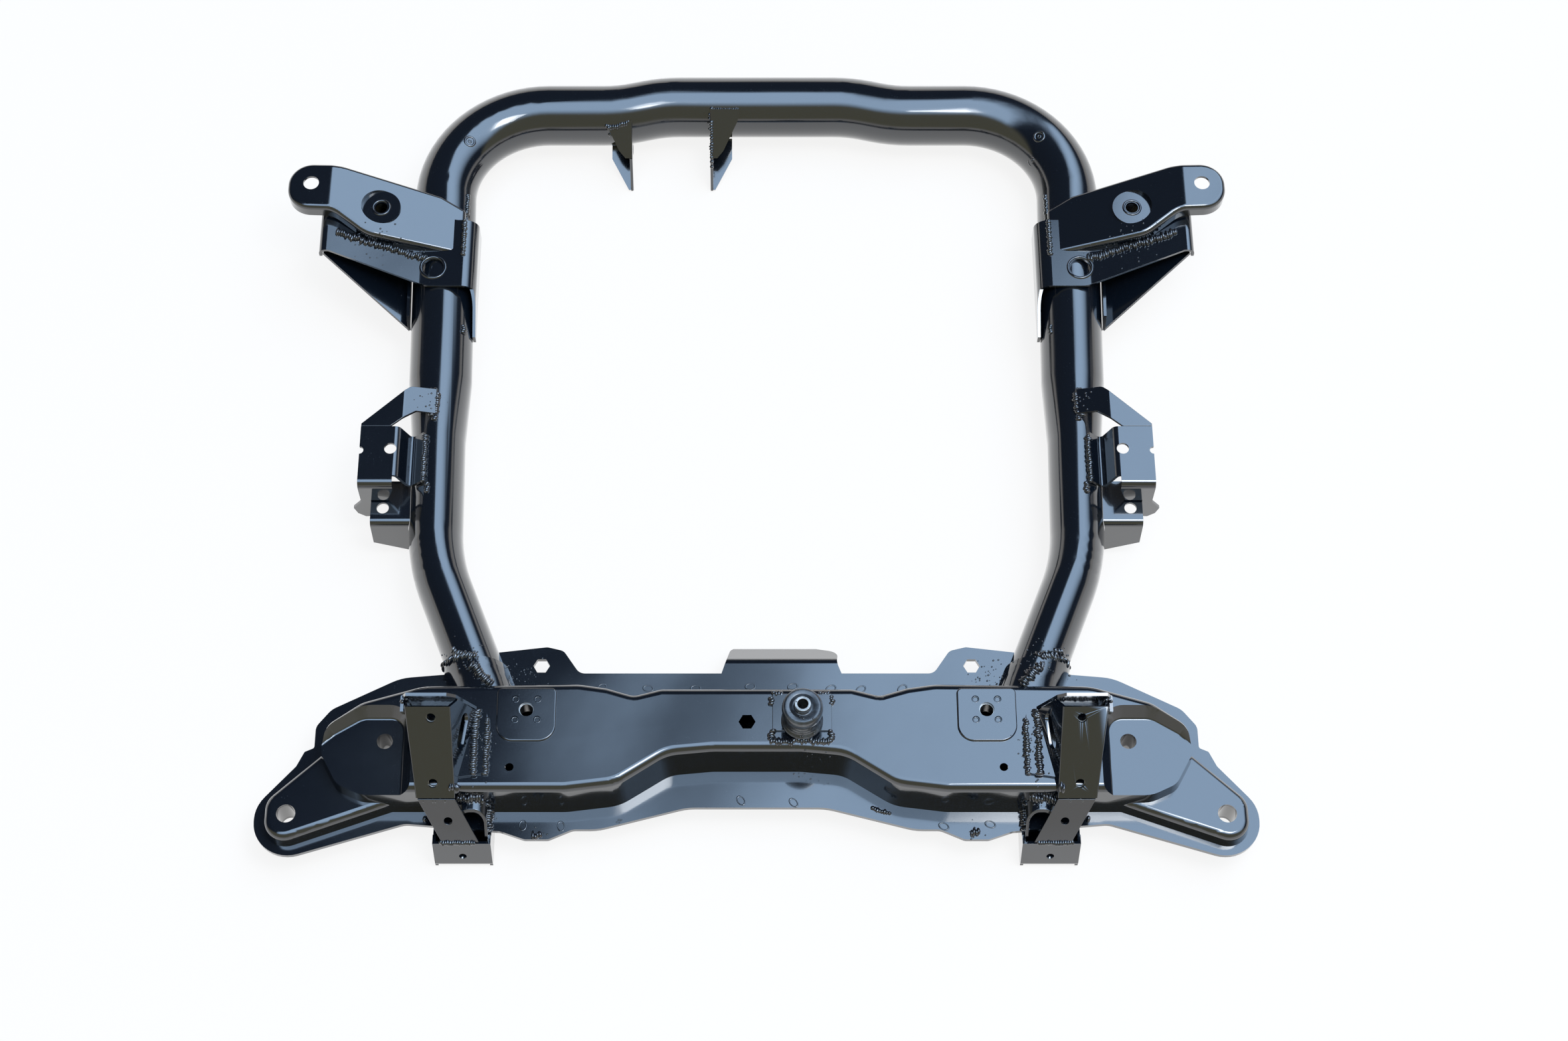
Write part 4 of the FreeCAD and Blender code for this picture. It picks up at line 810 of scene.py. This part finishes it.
@dataclass
class Welder:
    """Lays ripple after ripple of weld metal, and drops of spatter, on the steel.

    A ripple is an oval lump. Its half width and its height are shares of the bead's width and vary
    by the unevenness, and its heading varies by up to the swing. None is laid where the steel faces
    along the bead. A drop is a flattened ball of a size in millimetres.
    """

    skin: Skin
    material: bpy.types.Material
    seed: int
    ripple_pitch: float = 2.3 * MM
    ripple_length: float = 4.0 * MM
    length_range: Span = (0.8, 1.2)
    half_width: float = 0.6
    crown: float = 0.5
    unevenness: float = 0.28
    swing: float = 0.3
    facing: float = 0.95
    drop_sizes: Span = (0.4, 1.3)
    drop_width: float = 0.8
    drop_height: float = 0.7
    ring_steps: int = 8
    height_steps: int = 5
    smooth_angle: float = 80.0

    def __post_init__(self) -> None:
        """Starts the run of chance."""
        self.chance = random.Random(self.seed)

    def stations(self, route: Sequence[Vector]) -> Iterator[tuple[Vector, Vector]]:
        """Walks a route in steps of one ripple.

        Args:
            route: Its corners.

        Yields:
            Each place and the direction there.
        """
        for start, end in zip(route, route[1:]):
            run = end - start
            count = max(1, round(run.length / self.ripple_pitch))
            for number in range(count):
                yield start + run * (number / count), run.normalized()

    def lump(
            self, mesh: bmesh.types.BMesh, point: Vector, normal: Vector, along: Vector,
            sizes: tuple[float, float, float]) -> None:
        """Adds one rounded lump of metal.

        Args:
            mesh: Mesh that it goes into.
            point: Its middle.
            normal: Direction that its crown points in.
            along: Direction of its length.
            sizes: Half its length, width and height.
        """
        side = normal.cross(along).normalized()
        along = side.cross(normal).normalized()
        turn = Matrix((along, side, normal)).transposed().to_4x4()
        scale = Matrix.Diagonal((*sizes, 1.0))
        bmesh.ops.create_uvsphere(
            mesh, u_segments=self.ring_steps, v_segments=self.height_steps, radius=1.0,
            matrix=Matrix.Translation(point) @ turn @ scale)

    def uneven(self) -> float:
        """Draws a factor about 1."""
        return self.chance.uniform(1 - self.unevenness, 1 + self.unevenness)

    def bead(self, mesh: bmesh.types.BMesh, bead: Bead) -> None:
        """Lays one bead, on the seam that it follows.

        Args:
            mesh: Mesh that it goes into.
            bead: What to lay.
        """
        route = [self.skin.place(corner) for corner in bead.route]
        for plan, along in self.stations(route):
            across = Vector((-along.y, along.x, 0.0))
            found = self.skin.snap(plan, across, bead.reach * MM)
            if found is None:
                continue
            point, normal = found
            half = bead.width * self.half_width * MM * self.uneven()
            rise = bead.width * self.crown * MM * self.uneven()
            point = point + across * self.chance.uniform(-bead.wander, bead.wander) * MM
            heading = (along + across * self.chance.uniform(-self.swing, self.swing)).normalized()
            if abs(heading.dot(normal)) < self.facing:
                length = self.ripple_length / 2 * self.chance.uniform(*self.length_range)
                self.lump(mesh, point, normal, heading, (length, half, rise))

    def spatter(self, mesh: bmesh.types.BMesh, patch: Spatter) -> None:
        """Scatters drops of metal round a weld.

        Args:
            mesh: Mesh that they go into.
            patch: Where and how many.
        """
        for _ in range(patch.count):
            plan = (patch.middle[0] + self.chance.gauss(0, patch.spread / 2),
                    patch.middle[1] + self.chance.gauss(0, patch.spread / 2))
            size = self.chance.uniform(*self.drop_sizes) * MM
            found = self.skin.drop(self.skin.place(plan))
            if found is not None:
                point, normal, _ = found
                self.lump(
                    mesh, point, normal, normal.orthogonal().normalized(),
                    (size, size * self.drop_width, size * self.drop_height))

    def lay(self, weld: Weld) -> bpy.types.Object:
        """Makes one piece of weld metal.

        Args:
            weld: Its beads and drops.

        Returns:
            The piece.
        """
        mesh = bmesh.new()
        for bead in weld.beads:
            self.bead(mesh, bead)
        for patch in weld.spatters:
            self.spatter(mesh, patch)
        return add_piece(weld.name, mesh, self.material, self.smooth_angle)


def around(middle: Plan, half: float) -> tuple[Plan, ...]:
    """Gives the four corners of a square.

    Args:
        middle: Its middle.
        half: Half its side.

    Returns:
        The corners.
    """
    return tuple((middle[0] + across, middle[1] + ahead)
                 for across in (-half, half) for ahead in (-half, half))


@dataclass(frozen=True)
class Rings:
    """Raised rings of one kind that make one piece.

    The section of a ring is an arch about its radius, as wide as twice the rim, which rises above the
    steel by rise, stands on feet sunk by sink, and has shoulders at a share of its rise. Stretch is a
    ring's length over its width, and each is turned by turn_step degrees against the one before.
    """

    name: str
    places: tuple[Plan, ...]
    radius: float
    rim: float
    rise: float
    steps: int = 16
    stretch: float = 1.0
    turn_step: float = 0.0
    sink: float = 0.2 * MM
    shoulder: float = 0.8

    def section(self) -> list[Vector]:
        """Lists the points of the section, from the outer foot to the inner one.

        Returns:
            The points, on the ring's own X and Z.
        """
        arch = ((1.0, -self.sink), (0.5, self.rise * self.shoulder), (0.0, self.rise),
                (-0.5, self.rise * self.shoulder), (-1.0, -self.sink))
        return [Vector((self.radius + self.rim * part, 0.0, height)) for part, height in arch]


@dataclass
class RingSetter:
    """Sets raised rings down on the steel."""

    skin: Skin
    material: bpy.types.Material
    smooth_angle: float = 80.0

    def seat(self, middle: Vector, radius: float) -> tuple[Vector, Vector] | None:
        """Averages the steel at four points round a place, which itself may be a hole.

        Args:
            middle: The place.
            radius: Distance of the points from it.

        Returns:
            A point at the place and the normal there, or None where a point is off the part.
        """
        beside = [self.skin.drop(middle + Vector((radius * across, radius * ahead, 0)))
                  for across, ahead in ((1, 0), (-1, 0), (0, 1), (0, -1))]
        if None in beside:
            return None
        normal = sum((hit[1] for hit in beside), Vector()).normalized()
        level = sum(hit[0].z for hit in beside) / len(beside)
        return Vector((middle.x, middle.y, level)), normal

    def ring(self, mesh: bmesh.types.BMesh, rings: Rings, plan: Plan, turn: float) -> None:
        """Adds one ring, where the steel reaches all round it.

        Args:
            mesh: Mesh that it goes into.
            rings: What it looks like.
            plan: Its middle.
            turn: Turn of its length from the front, in degrees.
        """
        found = self.seat(self.skin.place(plan), rings.radius)
        if found is None:
            return
        point, normal = found
        others = set(mesh.verts)
        verts = [mesh.verts.new(corner) for corner in rings.section()]
        edges = [mesh.edges.new(pair) for pair in zip(verts, verts[1:])]
        bmesh.ops.spin(
            mesh, geom=verts + edges, cent=(0, 0, 0), axis=(0, 0, 1), angle=math.tau,
            steps=rings.steps, use_merge=True)
        place = (Matrix.Translation(point) @ normal.to_track_quat("Z", "Y").to_matrix().to_4x4()
                 @ Matrix.Rotation(math.radians(turn), 4, "Z")
                 @ Matrix.Diagonal((1.0, rings.stretch, 1.0, 1.0)))
        made = [vertex for vertex in mesh.verts if vertex not in others]
        bmesh.ops.transform(mesh, matrix=place, verts=made)

    def lay(self, rings: Rings) -> bpy.types.Object:
        """Makes one piece of rings.

        Args:
            rings: Their places and what they look like.

        Returns:
            The piece.
        """
        mesh = bmesh.new()
        for number, plan in enumerate(rings.places):
            self.ring(mesh, rings, plan, rings.turn_step * number)
        bmesh.ops.recalc_face_normals(mesh, faces=mesh.faces)
        return add_piece(rings.name, mesh, self.material, self.smooth_angle)


@dataclass(frozen=True)
class WeldedJoints:
    """Every weld of the part and every raised ring in its steel.

    The welds of a side are set out for the right side and laid on both. The rings are spot weld
    marks, collars of holes and rims of seats.
    """

    side_welds: tuple[Weld, ...] = (
        Weld("rail_weld", (
            Bead(((331, 150), (315, 152), (296, 152)), 8.0, 12.0, 0.9),
            Bead(((296, 152), (270, 140), (252, 120)), 9.0, 12.0, 1.2),
            Bead(((292, 160), (272, 148)), 6.0, 2.0, 2.0),
        ), (Spatter((272, 150), 16, 60), Spatter((228, 148), 18, 46), Spatter((300, 158), 12, 24))),
        Weld("roll_bar_bracket_weld", (
            Bead(((265.5, 28), (265.5, 94)), 6.5, 2.0, 0.7),
            Bead(((257, 29), (257, 86)), 6.0, 3.0, 0.9),
            Bead(((330, 83), (279, 83)), 4.0, 4.0, 0.3),
            Bead(((266, 93), (262, 84)), 7.0, 1.0, 1.2),
        ), (Spatter((258, 58), 16, 26),)),
        Weld("roll_bar_foot_weld", (
            Bead(((286, 14), (256, 12)), 8.0, 5.0, 1.5),
            Bead(((256, 10), (252, -12)), 8.0, 5.0, 1.0),
            Bead(((314, 2), (282, 2)), 5.0, 4.0, 0.4),
            Bead(((300, -20), (264, -20)), 5.0, 4.0, 0.4),
        ), (Spatter((262, 10), 14, 20),)),
        Weld("arm_bracket_weld", (
            Bead(((326, 331), (326, 395)), 6.0, 7.0, 0.6),
            Bead(((322, 412), (322, 443)), 6.0, 6.0, 0.8),
            Bead(((322, 443), (344, 440)), 6.0, 6.0, 0.6),
        ), (Spatter((330, 430), 12, 14),)),
        Weld("front_mount_weld", (
            Bead(((432, 625), (386, 612), (340, 600)), 8.0, 1.0, 1.2),
            Bead(((303, 606), (303, 690)), 5.0, 5.0, 0.4),
            Bead(((300, 520), (300, 530)), 6.0, 5.0, 0.6),
            Bead(((362, 524), (368, 540)), 7.0, 6.0, 0.8),
        ), (Spatter((386, 612), 24, 30), Spatter((345, 604), 8, 8))),
    )
    middle_welds: tuple[Weld, ...] = (
        Weld("torque_mount_weld", (
            Bead(((14, 72), (14, 62), (42, 61), (70, 62), (72, 74)), 6.0, 3.0, 0.9),
            Bead(((16, 100), (16, 108), (26, 108)), 5.0, 3.0, 0.8),
            Bead(((60, 108), (70, 107), (71, 98)), 5.0, 3.0, 0.8),
        ), (Spatter((44, 58), 20, 34),)),
        Weld("mount_cheek_weld", (
            Bead(((-160, 778), (-134, 778)), 5.0, 8.0, 0.4),
            Bead(((-158, 778), (-158, 745)), 4.0, 5.0, 0.3),
            Bead(((-48, 794), (-18, 794)), 5.0, 8.0, 0.4),
            Bead(((-48, 790), (-48, 745)), 4.0, 5.0, 0.3),
        )),
        Weld("flange_weld", (
            Bead(((-112, -1), (-86, 3)), 5.0, 1.0, 0.6),
            Bead(((-211, -16), (-202, -15)), 8.0, 1.0, 1.5),
            Bead(((203, -13), (212, -12)), 8.0, 1.0, 1.5),
            Bead(((110, 12), (128, 6)), 4.0, 1.0, 0.6),
        ), (Spatter((-206, -13), 9, 12), Spatter((208, -9), 9, 12), Spatter((-130, -3), 5, 5))),
    )
    rear_flange_spots: tuple[Plan, ...] = (
        (-221, -5), (-185, -6), (-130, -2), (-60, 15), (-15, 20), (35, 18), (86, 8), (118, -2),
        (177, -6), (221, -4))
    front_flange_spots: tuple[Plan, ...] = (
        (-105, 136), (-59, 136), (-6, 138), (35, 138), (72, 136), (101, 135), (141, 136),
        (-150, 137), (-295, 149), (295, 149))
    tube_corner_spots: tuple[Plan, ...] = ((-303, 750), (-289, 730), (299, 756), (292, 735))
    saddle_holes: tuple[Plan, ...] = ((-333, 590), (333, 590))
    bolt_seats: tuple[Plan, ...] = ((-388, 652), (388, 652))
    rack_pads: tuple[Plan, ...] = ((-218, 94), (218, 94))
    rack_pad_half: float = 10.5
    side_seed: int = 11
    middle_seed: int = 5

    def rings(self) -> tuple[Rings, ...]:
        """Lists the rings.

        Returns:
            The rings of each kind, which make one piece.
        """
        pad_corners = tuple(
            corner for pad in self.rack_pads for corner in around(pad, self.rack_pad_half))
        return (
            Rings("flange_spot_welds", self.rear_flange_spots + self.front_flange_spots,
                  radius=3.2 * MM, rim=0.7 * MM, rise=0.35 * MM, stretch=1.5, turn_step=8.0),
            Rings("tube_corner_marks", self.tube_corner_spots,
                  radius=5.2 * MM, rim=1.5 * MM, rise=0.9 * MM),
            Rings("tube_corner_pips", self.tube_corner_spots,
                  radius=1.5 * MM, rim=0.9 * MM, rise=0.6 * MM),
            Rings("saddle_hole_collars", self.saddle_holes,
                  radius=12.6 * MM, rim=1.7 * MM, rise=1.3 * MM, steps=40),
            Rings("bolt_seat_rims", self.bolt_seats,
                  radius=8.6 * MM, rim=1.6 * MM, rise=1.1 * MM, steps=32),
            Rings("rack_pad_rims", pad_corners,
                  radius=2.9 * MM, rim=0.9 * MM, rise=0.5 * MM, steps=20),
        )

    def build(self, skin: Skin, finishes: Finishes) -> None:
        """Lays the welds and sets the rings down.

        Args:
            skin: Steel that they lie on.
            finishes: Materials of the part.
        """
        for side in Side:
            welder = Welder(skin, finishes.bead, self.side_seed + side.value)
            for weld in self.side_welds:
                welder.lay(weld.on(side))
        welder = Welder(skin, finishes.bead, self.middle_seed)
        for weld in self.middle_welds:
            welder.lay(weld)
        setter = RingSetter(skin, finishes.paint)
        for rings in self.rings():
            setter.lay(rings)


# Studio


@dataclass(frozen=True)
class PhotoCamera:
    """Camera of the photograph, in millimetres and degrees, with its focal length in pixels."""

    back: float = -1351.5
    height: float = 2520.0
    pitch: float = 63.0
    focal_pixels: float = 4200.0
    image_width: float = 2361.0
    axis_pixel: float = 1139.2
    sensor_width: float = 36.0

    def build(self) -> bpy.types.Object:
        """Adds the camera and makes it the scene's.

        Returns:
            The camera.
        """
        data = bpy.data.cameras.new("photo_camera")
        data.sensor_width = self.sensor_width
        data.sensor_fit = "HORIZONTAL"
        data.lens = self.focal_pixels / self.image_width * self.sensor_width
        data.shift_x = (self.image_width / 2 - self.axis_pixel) / self.image_width
        camera = bpy.data.objects.new("photo_camera", data)
        camera.location = (0.0, self.back * MM, self.height * MM)
        camera.rotation_euler = (math.radians(90.0 - self.pitch), 0.0, 0.0)
        bpy.context.scene.collection.objects.link(camera)
        bpy.context.scene.camera = camera
        return camera


@dataclass(frozen=True)
class Softbox:
    """Rectangular lamp that looks at the middle of the part, in metres and watts."""

    name: str = "top_softbox"
    place: tuple[float, float, float] = (0.9, -0.5, 3.2)
    width: float = 1.0
    depth: float = 1.0
    power: float = 30.0
    colour: Colour = (0.95, 0.98, 1.0)

    def build(self) -> None:
        """Adds the lamp."""
        data = bpy.data.lights.new(self.name, "AREA")
        data.shape = "RECTANGLE"
        data.size = self.width
        data.size_y = self.depth
        data.energy = self.power
        data.color = self.colour
        lamp = bpy.data.objects.new(self.name, data)
        lamp.location = self.place
        lamp.rotation_euler = (-Vector(self.place)).to_track_quat("-Z", "Y").to_euler()
        bpy.context.scene.collection.objects.link(lamp)


@dataclass(frozen=True)
class Room:
    """Room round the studio: pale near the horizon, a dim ceiling and one large window in it.

    A direction is told by how far it leans for each metre that it rises: across is its lean to the
    right, and ahead its lean to the front. The window's front edge runs slanting over the ceiling.
    """

    horizon: Colour = (0.84, 0.82, 0.79)
    ceiling: Colour = (0.035, 0.04, 0.05)
    window: Colour = (2.1, 2.95, 4.1)
    rear_wall: Colour = (0.42, 0.4, 0.26)
    horizon_top: float = 0.12
    horizon_fade: float = 0.1
    least_rise: float = 0.02
    front_edge: float = 0.45
    slant: float = 1.6
    edge_fade: float = 0.1
    rear_edge: float = -0.2
    rear_fade: float = 0.5
    right_edge: float = 1.9
    right_fade: float = 1.5

    def build(self) -> None:
        """Makes the world."""
        world = bpy.data.worlds.new("studio_room")
        bpy.context.scene.world = world
        tree = ShaderTree(world)
        way = tree.node("ShaderNodeTexCoord", {}, "Generated")
        split = tree.node("ShaderNodeSeparateXYZ", [way])
        right, front, rise = (Signal(tree, output) for output in split.socket.node.outputs)
        up = rise.math("MAXIMUM", self.least_rise)
        across, ahead = right / up, front / up
        front_side = 1.0 - (ahead - across * self.slant).above(
            self.front_edge - self.edge_fade, self.front_edge + self.edge_fade)
        rear_side = ahead.above(self.rear_edge - self.rear_fade, self.rear_edge)
        right_side = 1.0 - across.above(self.right_edge - self.right_fade, self.right_edge)
        walls = rear_side.between(self.rear_wall, self.ceiling)
        overhead = (front_side * rear_side * right_side).between(walls, self.window)
        high = rise.above(self.horizon_top, self.horizon_top + self.horizon_fade)
        colour = high.between(self.horizon, overhead)
        shade = tree.node("ShaderNodeBackground", {"Color": colour, "Strength": 1.0})
        tree.show(shade, "ShaderNodeOutputWorld")


@dataclass(frozen=True)
class Floor:
    """Pale floor, which keeps the part's shadow and shows white.

    White share is how much of what the camera or a reflection sees of it is plain white.
    """

    size: float = 14.0
    colour: Colour = (0.9, 0.8, 0.71)
    white: Colour = (1.0, 1.0, 1.0)
    white_share: float = 0.86

    def material(self) -> bpy.types.Material:
        """Makes the material.

        Returns:
            The floor's colour.
        """
        pale = bpy.data.materials.new("pale_floor")
        tree = ShaderTree(pale)
        surface = tree.node("ShaderNodeBsdfDiffuse", {"Color": (*self.colour, 1.0)})
        glow = tree.node("ShaderNodeEmission", {"Color": (*self.white, 1.0), "Strength": 1.0})
        path = tree.node("ShaderNodeLightPath", {}, "Is Camera Ray")
        rays = path.socket.node.outputs
        seen = path + Signal(tree, rays["Is Glossy Ray"]) + Signal(tree, rays["Is Transmission Ray"])
        tree.show(tree.node("ShaderNodeMixShader", [seen * self.white_share, surface, glow]))
        return pale

    def build(self) -> None:
        """Adds the floor."""
        mesh = bmesh.new()
        bmesh.ops.create_grid(mesh, x_segments=1, y_segments=1, size=self.size)
        data = bpy.data.meshes.new("studio_floor")
        mesh.to_mesh(data)
        mesh.free()
        data.materials.append(self.material())
        floor = bpy.data.objects.new("studio_floor", data)
        bpy.context.scene.collection.objects.link(floor)


# Whole scene


def mount_place(record: dict, name: str) -> Sequence[float]:
    """Gives the place of a mount.

    Args:
        record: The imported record.
        name: Name of the mount.

    Returns:
        Its place, in metres.
    """
    return next(mount["pos_m"] for mount in record["mounts"] if mount["name"] == name)


def main() -> None:
    """Builds the dressed part and the studio."""
    logging.basicConfig(level=logging.INFO, format="%(name)s: %(message)s")
    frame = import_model()
    record = frame["record"]
    bpy.context.scene.view_settings.view_transform = "Standard"
    finishes = Finishes()
    slots = {entry["node"]: Slot(entry["material_slot"]) for entry in record["subparts"]}
    rubber = TorqueMountRubber()
    for node, source in frame["nodes"].items():
        if node != rubber.node:
            Pressing(node, slots[node]).build(source, finishes)
    rubber.build(finishes)
    rear_row = mount_place(record, "rear_body_bolts")[1]
    WeldedJoints().build(Skin(list(frame["nodes"].values()), rear_row), finishes)
    Floor().build()
    Room().build()
    Softbox().build()
    PhotoCamera().build()


if __name__ == "__main__":
    main()
